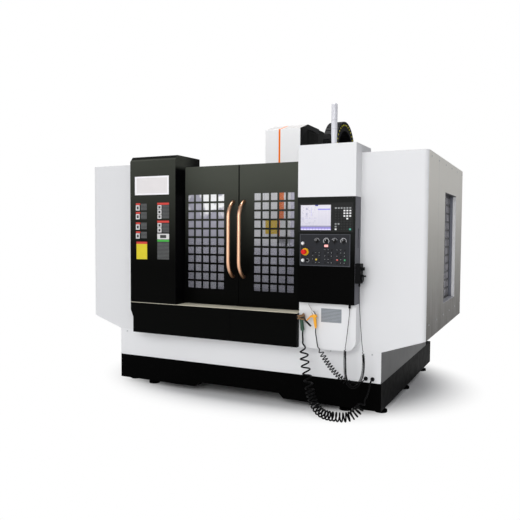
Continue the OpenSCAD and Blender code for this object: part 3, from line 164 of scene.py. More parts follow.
class Finish(Graph):
    """One material, built around a Principled shader on Object coordinates."""

    def __init__(self, name, colour, rough, metal=0.0, **fixed):
        self.material = bpy.data.materials.new(name)
        self.material.use_nodes = True
        super().__init__(self.material.node_tree)
        self.shader = self.tree.nodes["Principled BSDF"]
        self.colour = (*colour, 1.0)
        self.set("Base Color", self.colour)
        self.set("Roughness", rough)
        self.set("Metallic", metal)
        for socket, value in fixed.items():
            self.set(socket.replace("_", " "), value)
        self.place = self.node("ShaderNodeTexCoord", {}, {}, "Object")
        self.material.diffuse_color = self.colour

    def set(self, socket, value):
        """Sets or feeds one socket of the shader."""
        self.put(self.shader.inputs[socket], value)

    def axes(self, letters="XYZ"):
        """The point's coordinates along the named axes, as values."""
        split = self.node("ShaderNodeSeparateXYZ", {}, {0: self.place})
        return [split.other(letter) for letter in letters]

    def noise(self, scale, detail=2.0, stretch=(1.0, 1.0, 1.0)):
        """Noise from 0 to 1 at a scale in cells a metre, stretched along the axes."""
        spot = self.node("ShaderNodeMapping", {}, {"Vector": self.place, "Scale": stretch})
        return self.node("ShaderNodeTexNoise", {}, {"Vector": spot, "Scale": scale, "Detail": detail})

    def mix(self, mask, first, second):
        """A colour between two, by a mask."""
        return self.node(
            "ShaderNodeMix", {"data_type": "RGBA"}, {"Factor": mask, 6: first, 7: second}, 2
        )

    def paint(self, mask, colour, ground=None):
        """Lays a colour over the ground where the mask is 1, and feeds the result to the shader."""
        result = self.mix(mask, self.colour if ground is None else ground, (*colour, 1.0))
        self.set("Base Color", result)
        return result

    def bump(self, height, strength, distance, edge=0.0):
        """Feeds the shader's normal from a height, over edges softened by a radius."""
        sockets = {"Height": height, "Strength": strength, "Distance": distance}
        if edge:
            sockets["Normal"] = self.node("ShaderNodeBevel", {"samples": 4}, {"Radius": edge})
        self.set("Normal", self.node("ShaderNodeBump", {}, sockets))

    def orange_peel(self, rough, edge, cells=7.0):
        """Satin roughness in slow patches, and the fine peel of sprayed enamel."""
        self.set("Roughness", rough + 0.12 * self.noise(cells))
        self.bump(self.noise(420.0), 0.05, 0.4 * MM, edge)


# Sizes and colours that a user would change


def colour_setting(name, description, default):
    """A colour setting."""
    return bpy.props.FloatVectorProperty(
        name=name, description=description, subtype="COLOR", default=default
    )


def length_setting(name, description, default):
    """A length setting."""
    return bpy.props.FloatProperty(name=name, description=description, unit="LENGTH", default=default)


def number_setting(name, description, default, low, high):
    """A whole number setting."""
    return bpy.props.IntProperty(name=name, description=description, default=default, min=low, max=high)


class MachineLooks(bpy.types.PropertyGroup):
    """Colours of the machine's finishes."""

    white: colour_setting("White enamel", "Colour of the light sheets", (0.776, 0.778, 0.787))
    black: colour_setting("Black enamel", "Colour of the dark sheets", (0.0016, 0.0017, 0.0015))
    # The sheen is a painted reflection that lightens the dark sheets towards their tops
    sheen: colour_setting(
        "Black enamel, upper", "Tone of the dark sheets near their tops", (0.084, 0.090, 0.074)
    )
    stripe: colour_setting("Stripe", "Colour of the stripe on the head cover", (0.90, 0.20, 0.016))
    copper: colour_setting("Handles", "Colour of the handle lacquer", (0.90, 0.53, 0.34))
    sill: colour_setting("Sill", "Colour of the sill plate", (0.70, 0.66, 0.53))


class MachineSizes(bpy.types.PropertyGroup):
    """Sizes of the small fittings and the hoses."""

    coolant_d: length_setting("Coolant hose", "Diameter of the coolant hose", 14 * MM)
    air_d: length_setting("Air hose", "Diameter of the air hose", 9 * MM)
    cord_d: length_setting("Pendant cord", "Diameter of the pendant cord", 5 * MM)
    screw_d: length_setting("Screw heads", "Diameter of the panel screws", 14 * MM)
    grip_sides: number_setting("Handle sides", "Faces round a handle tube", 32, 12, 64)
    link_count: number_setting("Chain links", "Links of the cable carrier", 32, 12, 60)


def looks():
    """The machine's colours."""
    return bpy.context.scene.machine_looks


def sizes():
    """The machine's small sizes."""
    return bpy.context.scene.machine_sizes


# Heights, depths and widths between which a tone, or a painted light or shade, changes, in metres
WING_SEAM_Y = -0.61
WING_SEAM_HALF = 4 * MM
FLANK_SHADE_Z = (0.55, 2.15)
SHEEN_FADE_Z = (1.2, 2.45)
DOOR_SEAL_HALF = 6 * MM
REVEAL_SKIN = 6 * MM
REVEAL_LIT = 34 * MM
ROOF_BAND = (30 * MM, 26 * MM)
RECESS_SHADOW_BAND = (40 * MM, 10 * MM)
HOOD_SHADE = (60 * MM, 200 * MM)
PANEL_SHEEN_Z = (1.25, 1.7)
PANEL_RIM = 14 * MM
GRIP_SHADE = (0.2, 0.37)
PAINTED_REFLECTION_Z = (1.0, 1.95)
PAINTED_GLINT_Z = (1.62, 1.74)
SIDE_PANE_X = 1.0
CLEAR_X = (0.05, 0.52)
CLEAR_FADE_Z = (1.36, 1.5)
STRIPE_X = (-49 * MM, -27 * MM)
BROAD_STRIPE_X = (-27 * MM, 20 * MM)
BROAD_STRIPE_Z = (1.70, 2.10)
GUN_HEAD = (62 * MM, 56 * MM)
NOZZLE_TUBE = (92 * MM, 90 * MM)

# Finishes, each made once and kept under its maker's name and values

MADE = {}


def finish(maker):
    """Keeps the material that a maker builds, so that it is built once."""

    def get(*values):
        key = (maker.__name__, *values)
        if key not in MADE:
            MADE[key] = maker(*values).material
        return MADE[key]

    return get


def white_sheet(name, shine, shade=1.0, cells=1.3):
    """A satin light enamel with a fine orange peel, and the colour laid on it so far."""
    # A shade factor below 1 darkens the colour as painted shade
    colour = [shade * c for c in looks().white]
    made = Finish(name, colour, 0.42, Specular_IOR_Level=shine)
    ground = made.paint(made.noise(cells, 3.0) * 0.22, [0.9 * c for c in colour])
    made.orange_peel(0.36, 2.5 * MM)
    return made, ground


@finish
def white_enamel():
    """White enamel of the sheets that have one tone all over."""
    return white_sheet("white_enamel", 0.4)[0]


@finish
def wing_enamel(shade, flank_x):
    """White enamel, darkened as a whole by the shade factor as painted shade, with the closed joint between
    two sheets, and a painted shade on the flank that is darkest at its foot.
    """
    made, ground = white_sheet(f"wing_enamel_{int(shade * 100)}", 0.1, shade, 1.1)
    x, y, z = made.axes()
    # Painted shade on the flank beyond flank_x: streaked, dark grey at its foot and warm white near its top
    streak = made.noise(26.0, 2.0, (1.0, 1.0, 0.03)) * 0.5 + 0.75
    tone = made.mix(z.ramp(*FLANK_SHADE_Z), (0.054, 0.046, 0.036, 1.0), (0.84, 0.815, 0.745, 1.0))
    ground = made.mix((x > flank_x) * streak.math("MINIMUM", 1.0), ground, tone)
    joint = abs(y - WING_SEAM_Y) < WING_SEAM_HALF
    made.paint(joint * 0.5, (0.42, 0.42, 0.41), ground)
    return made


@finish
def skirt_enamel():
    """White enamel, with a painted shadow in dark grey on the right flank under the wing."""
    made, ground = white_sheet("skirt_enamel", 0.1)
    [x] = made.axes("X")
    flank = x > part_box("skirt")[1].x - FACE_SKIN
    # Painted shadow under the wing's overhang, on the skirt's right flank
    made.paint(flank * 0.92, (0.020, 0.021, 0.0205), ground)
    return made


@finish
def window_enamel():
    """Grey enamel of the sunk window frames, with a dark grid, painted shade on the rear reveal with a
    painted highlight on its outer part, and painted shade on the top reveal.
    """
    made = Finish("window_enamel", (0.46, 0.46, 0.49), 0.45, Specular_IOR_Level=0.3)
    x, y, z = made.axes()
    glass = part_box("side_glass")[1]
    grid = abs(x) < glass.x + SHEET_T + 1 * MM
    rear = (y > glass.y - REVEAL_SKIN) * (1 - grid)
    ground = made.paint(made.noise(3.0, 3.0) * 0.5, (0.38, 0.38, 0.41))
    # Painted shade and light in the recess: the rear reveal darker, its outer part white where lit, the top
    # reveal near black
    for mask, colour in (
        (grid, (0.06, 0.06, 0.064)),
        (rear, (0.24, 0.25, 0.29)),
        (rear * (abs(x) > glass.x + REVEAL_LIT), (1.0, 1.0, 1.0)),
        ((z > glass.z - REVEAL_SKIN) * (1 - grid), (0.02, 0.02, 0.022)),
    ):
        ground = made.paint(mask, colour, ground)
    made.orange_peel(0.4, 2.0 * MM, 9.0)
    return made


def dark_sheet(name, sheen_share):
    """A greenish black enamel with a painted sheen that lightens it towards the tops, and the colour laid on
    it so far.
    """
    made = Finish(name, looks().black, 0.34, Specular_IOR_Level=0.025)
    [z] = made.axes("Z")
    strength = 0.86 + 0.22 * made.noise(2.2, 3.0)
    # Painted sheen: a reflection painted lighter towards the tops, in slow patches
    ground = made.paint(z.ramp(*SHEEN_FADE_Z) * strength, [sheen_share * c for c in looks().sheen])
    made.set("Roughness", 0.28 + 0.16 * made.noise(5.0, 3.0))
    made.bump(made.noise(460.0), 0.06, 0.4 * MM, 2.0 * MM)
    return made, ground


@finish
def black_enamel(sheen_share=1.0):
    """Black enamel with a painted sheen towards the tops, and a dark seal where the doors meet."""
    made, ground = dark_sheet(f"black_enamel_{int(sheen_share * 100)}", sheen_share)
    [x] = made.axes("X")
    made.paint(abs(x) < DOOR_SEAL_HALF, (0.0008, 0.0008, 0.0008), ground)
    return made


@finish
def cover_enamel():
    """Black enamel of the pocket cover, darkest on its roof, with painted shadow on its flank in the recess
    beside the door and under the hood.
    """
    made, ground = dark_sheet("cover_enamel", 0.62)
    x, y, z = made.axes()
    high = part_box("pocket_cover")[1]
    door_low, door_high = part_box("left_door")
    flank = x > high.x - FACE_SKIN
    # Painted shadow: the flank beside the door and its rear part under the hood are painted near black
    recess = flank * (1 - z.ramp(door_high.z - RECESS_SHADOW_BAND[0], door_high.z + RECESS_SHADOW_BAND[1]))
    roof = z.ramp(*(high.z - band for band in ROOF_BAND)) * (1 - flank)
    rear = flank * y.ramp(door_low.y - HOOD_SHADE[0], door_low.y + HOOD_SHADE[1])
    for part in (recess, roof * 0.85, rear * 0.9):
        ground = made.paint(part, (0.0015, 0.0015, 0.0018), ground)
    return made


@finish
def panel_enamel():
    """Black panel front with a painted sheen towards its top, and a duller rim beside its bare aluminium
    right flank.
    """
    made = Finish("panel_enamel", (0.0006, 0.0006, 0.0006), 0.4, Specular_IOR_Level=0.025)
    x, z = made.axes("XZ")
    flank = x > PANEL_HIGH.x - FACE_SKIN / 2
    rim = x.between(PANEL_HIGH.x - PANEL_RIM, PANEL_HIGH.x - FACE_SKIN) * (1 - flank)
    # Painted sheen: the front is painted lighter towards its top
    ground = made.paint(z.ramp(*PANEL_SHEEN_Z), (0.016, 0.017, 0.016))
    brushed = made.noise(60.0, 2.0, (1.0, 1.0, 12.0))
    steel = made.mix(brushed, (0.13, 0.13, 0.147, 1.0), (0.17, 0.17, 0.187, 1.0))
    made.set("Base Color", made.mix(flank, ground, steel))
    made.set("Roughness", 0.38 + 0.12 * made.noise(30.0) + rim * 0.2)
    made.bump(made.noise(500.0), 0.05, 0.3 * MM, 1.5 * MM)
    return made


@finish
def black_casting():
    """Painted black casting, a little uneven."""
    made = Finish("black_casting", (0.0006, 0.0006, 0.0006), 0.5, Specular_IOR_Level=0.015)
    made.paint(made.noise(3.0, 4.0) * 0.5, (0.0016, 0.0016, 0.0016))
    made.set("Roughness", 0.42 + 0.2 * made.noise(14.0, 3.0))
    made.bump(made.noise(90.0, 5.0), 0.25, 0.8 * MM, 3.0 * MM)
    return made


@finish
def grey_casting():
    """Grey painted casting with a sand-cast skin."""
    made = Finish("grey_casting", (0.46, 0.47, 0.48), 0.5)
    made.paint(made.noise(4.0, 4.0) * 0.5, (0.38, 0.39, 0.40))
    made.set("Roughness", 0.42 + 0.2 * made.noise(20.0, 3.0))
    made.bump(made.noise(140.0, 4.0), 0.3, 0.7 * MM, 3.0 * MM)
    return made


@finish
def ground_iron():
    """Ground table iron with fine lines along its length."""
    made = Finish("ground_iron", (0.52, 0.53, 0.54), 0.32, 0.85)
    lines = made.noise(300.0, 3.0, (0.02, 1.0, 1.0))
    made.paint(lines * 0.5, (0.40, 0.41, 0.42))
    made.set("Roughness", 0.24 + 0.2 * lines)
    made.bump(lines, 0.08, 0.2 * MM, 1.0 * MM)
    return made


@finish
def bright_steel():
    """Turned and ground steel."""
    made = Finish("bright_steel", (0.60, 0.61, 0.62), 0.25, 1.0)
    turned = made.noise(500.0, 2.0, (0.15, 1.0, 1.0))
    made.set("Roughness", 0.18 + 0.16 * turned)
    made.bump(turned, 0.06, 0.15 * MM, 0.5 * MM)
    return made


@finish
def sill_steel():
    """Beige sill plate with long scuffs."""
    colour = tuple(looks().sill)
    made = Finish("sill_steel", colour, 0.36, 0.1)
    scuffs = made.noise(90.0, 4.0, (0.05, 1.0, 1.0))
    made.paint(scuffs * 0.6, [0.72 * c for c in colour])
    made.set("Roughness", 0.28 + 0.2 * scuffs)
    made.bump(scuffs, 0.08, 0.2 * MM, 1.5 * MM)
    return made


@finish
def copper_lacquer():
    """Copper coloured metallic lacquer, with a painted shade towards the ends of a handle."""
    made = Finish("copper_lacquer", looks().copper, 0.3, 0.9, Coat_Weight=0.5, Coat_Roughness=0.12)
    [z] = made.axes("Z")
    low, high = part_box("left_handle")
    flake = made.noise(1400.0, 1.0)
    ground = made.paint(flake * 0.3, [0.8 * c for c in looks().copper])
    # Painted shade towards the ends of the handle
    end = abs(z - (low.z + high.z) / 2).ramp(*GRIP_SHADE)
    made.paint(end * 0.75, (0.30, 0.15, 0.075), ground)
    made.set("Roughness", 0.26 + 0.1 * made.noise(25.0))
    made.bump(flake, 0.03, 0.1 * MM)
    return made


@finish
def window_pane():
    """Safety glass with a pale painted reflection that rises towards the top, painted white glints brightest
    at the top left, paler side panes, and clear in front of the head.
    """
    made = Finish("window_pane", (0.10, 0.10, 0.13), 0.05, Specular_IOR_Level=0.5)
    x, z = made.axes("XZ")
    glint_blotch = made.noise(5.5, 3.0, (1.0, 1.0, 0.8)).ramp(0.42, 0.54)
    # Painted reflection: a pale tint growing towards the top, and white glints in patches at the top of the
    # left door
    shine = z.ramp(*PAINTED_GLINT_Z) * glint_blotch * (x < 0.0)
    side = abs(x) > SIDE_PANE_X
    clear = x.between(*CLEAR_X) * z.ramp(*CLEAR_FADE_Z)
    ground = made.paint(z.ramp(*PAINTED_REFLECTION_Z), (0.46, 0.45, 0.55))
    ground = made.paint(side, (0.92, 0.90, 0.96), ground)
    made.paint(shine, (1.0, 1.0, 1.0), ground)
    made.set("Alpha", (0.56 + 0.34 * shine + 0.3 * side) * (1 - 0.88 * clear))
    made.material.surface_render_method = "BLENDED"
    return made


@finish
def plastic(name, colour, rough=0.42, grain=0.12, shine=0.2):
    """Moulded plastic with a fine grain."""
    made = Finish(f"plastic_{name}", colour, rough, Specular_IOR_Level=shine)
    cloud = made.noise(40.0, 3.0)
    made.paint(cloud * 0.35, [0.82 * c for c in colour])
    made.set("Roughness", (rough - 0.06) + 0.14 * made.noise(120.0))
    made.bump(made.noise(1500.0, 1.0), grain, 0.15 * MM)
    return made


@finish
def rubber():
    """Black hose rubber with a dull bloom."""
    made = Finish("hose_rubber", (0.0016, 0.0016, 0.0018), 0.42, Specular_IOR_Level=0.06)
    made.paint(made.noise(60.0, 3.0) * 0.5, (0.005, 0.005, 0.0055))
    made.set("Roughness", 0.34 + 0.2 * made.noise(45.0, 2.0))
    made.bump(made.noise(900.0), 0.08, 0.15 * MM)
    return made


@finish
def plate_film():
    """Grey membrane film of the operator plate, with a lit lamp in its strip."""
    made = Finish("plate_film", (0.017, 0.018, 0.022), 0.5, Specular_IOR_Level=0.16)
    x, z = made.axes("XZ")
    lamp_low, lamp_high = on_plate(0.497, 0.6), on_plate(0.572, 0.672)
    lamp = x.between(lamp_low.x, lamp_high.x) * z.between(lamp_low.z, lamp_high.z)
    edge = on_plate(0.012, 0.02)
    far_x, far_z = PLATE_HIGH.x - PLATE_RIM, PLATE_HIGH.z - PLATE_RIM
    rim = 1 - x.between(edge.x, far_x) * z.between(edge.z, far_z)
    ground = made.paint(made.noise(30.0) * 0.25, (0.021, 0.022, 0.026))
    ground = made.paint(rim * 0.6, (0.10, 0.105, 0.12), ground)
    made.paint(lamp, (0.95, 0.42, 0.40), ground)
    made.set("Emission Color", made.mix(lamp, (0.0, 0.0, 0.0, 1.0), (0.9, 0.35, 0.32, 1.0)))
    made.set("Emission Strength", 0.5)
    made.set("Roughness", 0.42 + 0.14 * made.noise(200.0))
    made.bump(made.noise(1200.0, 1.0), 0.1, 0.12 * MM)
    return made


@finish
def screen_glow(low_x, low_z, width, height):
    """Lit screen with plain bars and fields, no lettering."""
    made = Finish("screen_glow", (0.66, 0.65, 0.72), 0.25, Specular_IOR_Level=0.2)
    x, z = made.axes("XZ")
    across = (x - low_x) * (1 / width)
    up = (z - low_z) * (1 / height)
    picture = made.mix(up.ramp(0.0, 1.0), (0.60, 0.585, 0.66, 1.0), (0.70, 0.68, 0.74, 1.0))
    layers = [
        (across.between(0.48, 0.58) * (up > 0.955), (0.05, 0.05, 0.30)),
        (across.between(0.57, 0.98) * up.between(0.80, 0.85), (0.30, 0.28, 0.75)),
        (up.between(0.11, 0.175), (0.30, 0.29, 0.42)),
        (up < 0.11, (0.26, 0.22, 0.62)),
        (up < 0.055, (0.72, 0.68, 0.92)),
        (across.between(0.17, 0.23) * up.between(0.58, 0.68), (0.45, 0.44, 0.55)),
        (across.between(0.17, 0.23) * up.between(0.80, 0.89), (0.45, 0.44, 0.55)),
        (across.between(0.345, 0.36) * up.between(0.55, 0.92), (0.55, 0.53, 0.80)),
        (across.between(0.0, 0.53) * up.between(0.45, 0.458), (0.55, 0.53, 0.72)),
    ]
    for mask, colour in layers:
        picture = made.mix(mask, picture, (*colour, 1.0))
    ticks = ((across * 24.0).math("FRACT") < 0.55) * ((up * 17.0).math("FRACT") < 0.38)
    busy = made.noise(70.0, 1.0).ramp(0.52, 0.60) * up.between(0.19, 0.95) * (across < 0.54)
    picture = made.mix(ticks * busy * 0.7, picture, (0.22, 0.21, 0.34, 1.0))
    lines = ((across * 22.0).math("FRACT") < 0.16) * across.between(0.57, 0.98) * up.between(0.22, 0.78)
    picture = made.mix(lines * 0.45, picture, (0.45, 0.44, 0.60, 1.0))
    columns = (across * 10.0).math("FRACT") < 0.06
    picture = made.mix(columns * (up < 0.11), picture, (0.10, 0.09, 0.30, 1.0))
    made.set("Base Color", picture)
    made.set("Emission Color", picture)
    made.set("Emission Strength", 0.12)
    made.set("Roughness", 0.3 + 0.05 * made.noise(50.0))
    return made


@finish
def head_enamel():
    """White enamel of the head cover with one stripe down its front, a painted shade in grey on its roof,
    and a black right flank.
    """
    made = Finish("head_enamel", (0.9, 0.9, 0.9), 0.4, Specular_IOR_Level=0.08)
    x, y, z = made.axes()
    low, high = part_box("head_cover")
    flank = x > high.x - FACE_SKIN
    roof = (y > low.y + 2 * FACE_SKIN) * (1 - flank)
    stripe = x.between(*STRIPE_X) + x.between(*BROAD_STRIPE_X) * z.between(*BROAD_STRIPE_Z)
    ground = made.paint(made.noise(2.0, 3.0) * 0.2, (0.84, 0.84, 0.84))
    # Painted shade on the roof behind the front face
    ground = made.paint(roof, (0.52, 0.51, 0.50), ground)
    ground = made.paint(stripe * (1 - flank), looks().stripe, ground)
    made.paint(flank, (0.0015, 0.0015, 0.0015), ground)
    made.orange_peel(0.34, 2.0 * MM)
    return made


@finish
def lamp_plastic():
    """Milky lamp tube with a grey foot and faint rings between its lenses."""
    low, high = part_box("signal_lamp")
    made = Finish("lamp_plastic", (0.64, 0.64, 0.68), 0.25, Coat_Weight=0.4, Coat_Roughness=0.1)
    [z] = made.axes("Z")
    rise = (z - low.z) * (1 / (high.z - low.z))
    ring = (rise * 5.0).math("FRACT") < 0.05
    ground = made.paint(ring * (rise > 0.36) * 0.6, (0.36, 0.36, 0.40))
    made.paint(rise < 0.068, (0.60, 0.60, 0.63), ground)
    made.set("Roughness", 0.2 + 0.1 * made.noise(60.0))
    made.bump(made.noise(400.0), 0.04, 0.2 * MM, 1.0 * MM)
    return made


@finish
def gun_green():
    """Dark green grip with a stained bronze head."""
    made = Finish("gun_green", (0.012, 0.055, 0.028), 0.4)
    [z] = made.axes("Z")
    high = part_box("coolant_gun")[1]
    top = z.ramp(*(high.z - drop for drop in GUN_HEAD))
    patch = made.noise(45.0, 2.0).ramp(0.5, 0.56)
    ground = made.paint(top, (0.24, 0.14, 0.075))
    made.paint(top * patch, (0.02, 0.018, 0.016), ground)
    made.set("Metallic", top * 0.8)
    made.set("Roughness", 0.3 + 0.2 * made.noise(80.0))
    made.bump(made.noise(500.0), 0.12, 0.2 * MM, 1.0 * MM)
    return made


@finish
def gun_yellow():
    """Yellow grip with a bare steel nozzle tube."""
    made = Finish("gun_yellow", (0.88, 0.40, 0.015), 0.35)
    [z] = made.axes("Z")
    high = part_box("air_gun")[1]
    tube = z.ramp(*(high.z - drop for drop in NOZZLE_TUBE))
    made.paint(tube, (0.45, 0.43, 0.42))
    made.set("Metallic", tube)
    made.set("Roughness", 0.26 + 0.16 * made.noise(80.0))
    made.bump(made.noise(500.0), 0.1, 0.2 * MM, 1.0 * MM)
    return made


@finish
def flat_tone(name, colour, rough=0.4, metal=0.0):
    """Printed or anodised plate with a faint cloud and grain."""
    made = Finish(f"tone_{name}", colour, rough, metal)
    made.paint(made.noise(18.0, 3.0) * 0.4, [0.88 * c for c in colour])
    made.set("Roughness", rough - 0.05 + 0.12 * made.noise(90.0))
    made.bump(made.noise(700.0, 1.0), 0.06, 0.15 * MM)
    return made


@finish
def barred_tone(name, colour, bar, pitch):
    """Printed field with plain level bars."""
    made = Finish(f"bars_{name}", colour, 0.45)
    [z] = made.axes("Z")
    bars = (z * (1 / pitch)).math("FRACT") < 0.42
    made.paint(bars * (0.6 + 0.4 * made.noise(30.0)), bar)
    made.set("Roughness", 0.4 + 0.12 * made.noise(90.0))
    made.bump(made.noise(700.0, 1.0), 0.06, 0.15 * MM)
    return made


# Meshes

# Points nearer than this, in metres, are one, and edges turned further than this, in radians, are sharp
TOUCH = 1e-6
SHARP_ANGLE = 0.6


def link_object(name, data):
    """An object in the scene, made from a mesh, curve, lamp or camera."""
    made = bpy.data.objects.new(name, data)
    bpy.context.scene.collection.objects.link(made)
    return made


def mesh_from(name, mesh_data):
    """A mesh from a finished bmesh, with its faces turned outward."""
    mesh = bpy.data.meshes.new(name)
    bmesh.ops.recalc_face_normals(mesh_data, faces=mesh_data.faces)
    mesh_data.to_mesh(mesh)
    mesh_data.free()
    return mesh


def add_mesh(name, mesh_data, material, body):
    """Puts a finished bmesh in the scene as a piece on a body."""
    mesh = mesh_from(name, mesh_data)
    mesh.materials.append(material)
    piece = link_object(name, mesh)
    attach(piece, body)
    return piece


def add_part(whole, part, place=None):
    """Adds one bmesh to another, at a place, and frees it."""
    copy = bpy.data.meshes.new("part")
    part.to_mesh(copy)
    part.free()
    if place:
        copy.transform(place)
    whole.from_mesh(copy)
    bpy.data.meshes.remove(copy)


def slab_mesh(low, high, edge):
    """A box between two corners with rounded edges."""
    low, high = Vector(low), Vector(high)
    made = bmesh.new()
    bmesh.ops.create_cube(made, size=1.0)
    middle, span = (low + high) / 2, high - low
    for vert in made.verts:
        vert.co = middle + Vector([c * s for c, s in zip(vert.co, span)])
    if edge:
        bmesh.ops.bevel(
            made, geom=made.edges[:], offset=edge, segments=2, profile=0.6, affect="EDGES",
            clamp_overlap=True,
        )
    return made


def slab(name, low, high, edge, material, body):
    """A rounded box as a piece."""
    return add_mesh(name, slab_mesh(low, high, edge), material, body)


def circle(sides):
    """Cosine and sine at even turns round a circle."""
    turns = [2 * math.pi * k / sides for k in range(sides)]
    return [(math.cos(a), math.sin(a)) for a in turns]


def bridge(made, rings, sides):
    """Joins each ring of vertices to the next by faces, where a ring may be a single point."""
    for low, high in zip(rings, rings[1:]):
        for k in range(sides):
            j = (k + 1) % sides
            corners = [low[k % len(low)], low[j % len(low)], high[j % len(high)], high[k % len(high)]]
            made.faces.new(list(dict.fromkeys(corners)))


def turned_mesh(profile, sides):
    """Turns a profile of radius and height pairs about Z into a closed mesh."""
    made = bmesh.new()
    rings = []
    for radius, height in profile:
        around = circle(sides) if radius > TOUCH else [(0.0, 0.0)]
        rings.append([made.verts.new((radius * c, radius * s, height)) for c, s in around])
    bridge(made, rings, sides)
    return made


def smooth(piece):
    """Shades a piece smooth, with its sharper edges kept."""
    for polygon in piece.data.polygons:
        polygon.use_smooth = True
    edges = bmesh.new()
    edges.from_mesh(piece.data)
    for edge in edges.edges:
        edge.smooth = len(edge.link_faces) != 2 or edge.calc_face_angle(0.0) < SHARP_ANGLE
    edges.to_mesh(piece.data)
    edges.free()
    return piece


def transport(points):
    """Tangents and twist-free normals along a list of points."""
    last = len(points) - 1
    tangents = [(points[min(i + 1, last)] - points[max(i - 1, 0)]).normalized() for i in range(last + 1)]
    normal = Vector((1, 0, 0))
    normals = []
    for tangent in tangents:
        normal = (normal - normal.dot(tangent) * tangent).normalized()
        normals.append(normal)
    return tangents, normals


def tube_mesh(points, radius, sides):
    """A closed tube along points."""
    made = bmesh.new()
    tangents, normals = transport(points)
    rings = []
    for point, tangent, normal in zip(points, tangents, normals):
        side = tangent.cross(normal)
        rings.append([made.verts.new(point + radius * (c * normal + s * side)) for c, s in circle(sides)])
    bridge(made, rings, sides)
    made.faces.new(rings[0])
    made.faces.new(rings[-1])
    return made


# Geometry Nodes


class Tree(Graph):
    """A geometry node tree with named inputs."""

    def __init__(self, name, inputs):
        super().__init__(bpy.data.node_groups.new(name, "GeometryNodeTree"))
        face = self.tree.interface
        face.new_socket("Geometry", in_out="OUTPUT", socket_type="NodeSocketGeometry")
        self.keys = {}
        for label, kind in {"Geometry": "Geometry", **inputs, "Finish": "Material"}.items():
            made = face.new_socket(label, in_out="INPUT", socket_type=f"NodeSocket{kind}")
            self.keys[label] = made.identifier
        self.source = self.tree.nodes.new("NodeGroupInput")
        self.sink = self.tree.nodes.new("NodeGroupOutput")

    def given(self, label):
        """An input of the tree."""
        return Tap(self, self.source.outputs[label])

    def shape(self, label):
        """The mesh of an object that is an input of the tree."""
        return self.node("GeometryNodeObjectInfo", {}, {"Object": self.given(label)}, "Geometry")

    def close(self, points, shape, turn):
        """Ends the tree: a shape is stamped on turned points, made real and given its material."""
        sockets = {"Points": points, "Instance": shape, "Rotation": turn}
        stamped = self.node("GeometryNodeInstanceOnPoints", {}, sockets)
        real = self.node("GeometryNodeRealizeInstances", {}, {0: stamped})
        done = self.node("GeometryNodeSetMaterial", {}, {0: real, "Material": self.given("Finish")})
        self.put(self.sink.inputs[0], done)

    def bake(self, name, start, values, body, slot):
        """Runs the tree on a start object and keeps the result as a plain piece."""
        modifier = start.modifiers.new("build", "NODES")
        modifier.node_group = self.tree
        for label, value in values.items():
            modifier[self.keys[label]] = value
        start.update_tag()
        seen = start.evaluated_get(bpy.context.evaluated_depsgraph_get())
        mesh = bpy.data.meshes.new_from_object(seen)
        mesh.name = name
        start.modifiers.remove(modifier)
        bpy.data.objects.remove(start)
        piece = link_object(name, mesh)
        if body:
            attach(piece, body)
        return piece


def stamp_tree():
    """Stamps one shape on every point of a mesh, all turned alike."""
    tree = Tree("stamp_on_points", {"Stamp": "Object", "Turn": "Vector"})
    turn = tree.node("FunctionNodeEulerToRotation", {}, {0: tree.given("Turn")})
    tree.close(tree.given("Geometry"), tree.shape("Stamp"), turn)
    return tree


def path_tree():
    """Stamps one shape at even steps along a path in the YZ plane, turned with it."""
    tree = Tree("links_on_path", {"Link": "Object", "Count": "Int"})
    curve = tree.node("GeometryNodeMeshToCurve", {}, {"Mesh": tree.given("Geometry")})
    spots = tree.node(
        "GeometryNodeCurveToPoints", {"mode": "COUNT"}, {"Curve": curve, "Count": tree.given("Count")}
    )
    turn = tree.node(
        "FunctionNodeAlignRotationToVector",
        {"axis": "Y", "pivot_axis": "X"},
        {"Vector": spots.other("Tangent")},
    )
    tree.close(spots, tree.shape("Link"), turn)
    return tree


def dial_tree():
    """A fan of flat marks round a middle, in the XZ plane."""
    tree = Tree(
        "dial_marks",
        {"Middle": "Vector", "Count": "Int", "Radius": "Float", "Sweep": "Float", "Mark": "Vector"},
    )
    number, radius = tree.given("Count"), tree.given("Radius")
    share = tree.node("GeometryNodeInputIndex", {}, {}).math("DIVIDE", number - 1.0)
    angle = (share - 0.5) * tree.given("Sweep")
    out = {"X": angle.math("SINE") * radius, "Z": angle.math("COSINE") * radius}
    offset = tree.node("ShaderNodeCombineXYZ", {}, out)
    spot = tree.node("ShaderNodeVectorMath", {"operation": "ADD"}, {0: offset, 1: tree.given("Middle")})
    points = tree.node("GeometryNodePoints", {}, {"Count": number, "Position": spot})
    lean = tree.node("ShaderNodeCombineXYZ", {}, {"Y": angle})
    turn = tree.node("FunctionNodeEulerToRotation", {}, {0: lean})
    mark = tree.node("GeometryNodeMeshCube", {}, {"Size": tree.given("Mark")})
    tree.close(points, mark, turn)
    return tree


def point_object(points, chain=False):
    """A mesh of bare points, joined in a row where a path is wanted."""
    mesh = bpy.data.meshes.new("points")
    edges = [(i, i + 1) for i in range(len(points) - 1)] if chain else []
    mesh.from_pydata([tuple(p) for p in points], edges, [])
    return link_object("points", mesh)


def stamp_object(mesh_data):
    """A shape to stamp, kept in the scene only while a tree runs."""
    return link_object("stamp", mesh_from("stamp", mesh_data))


def stamp(name, points, shape, material, body, slot, turn=(0.0, 0.0, 0.0)):
    """Stamps a bmesh on points and keeps the result as one piece."""
    stamp_shape = stamp_object(shape)
    values = {"Stamp": stamp_shape, "Turn": turn, "Finish": material}
    piece = stamp_tree().bake(name, point_object(points), values, body, slot)
    bpy.data.objects.remove(stamp_shape)
    return piece


# Operators, one for each piece or group of like pieces


class Job(bpy.types.Operator):
    """Common ground of the operators."""

    bl_options = {"REGISTER", "UNDO"}

    def execute(self, context):
        self.build()
        return {"FINISHED"}


def dress(material, *names):
    """Gives CAD nodes a material."""
    for name in names:
        NODES[name].data.materials.clear()
        NODES[name].data.materials.append(material)


KNOBS = ("mode_knob", "feed_knob", "rapid_knob", "spindle_knob")


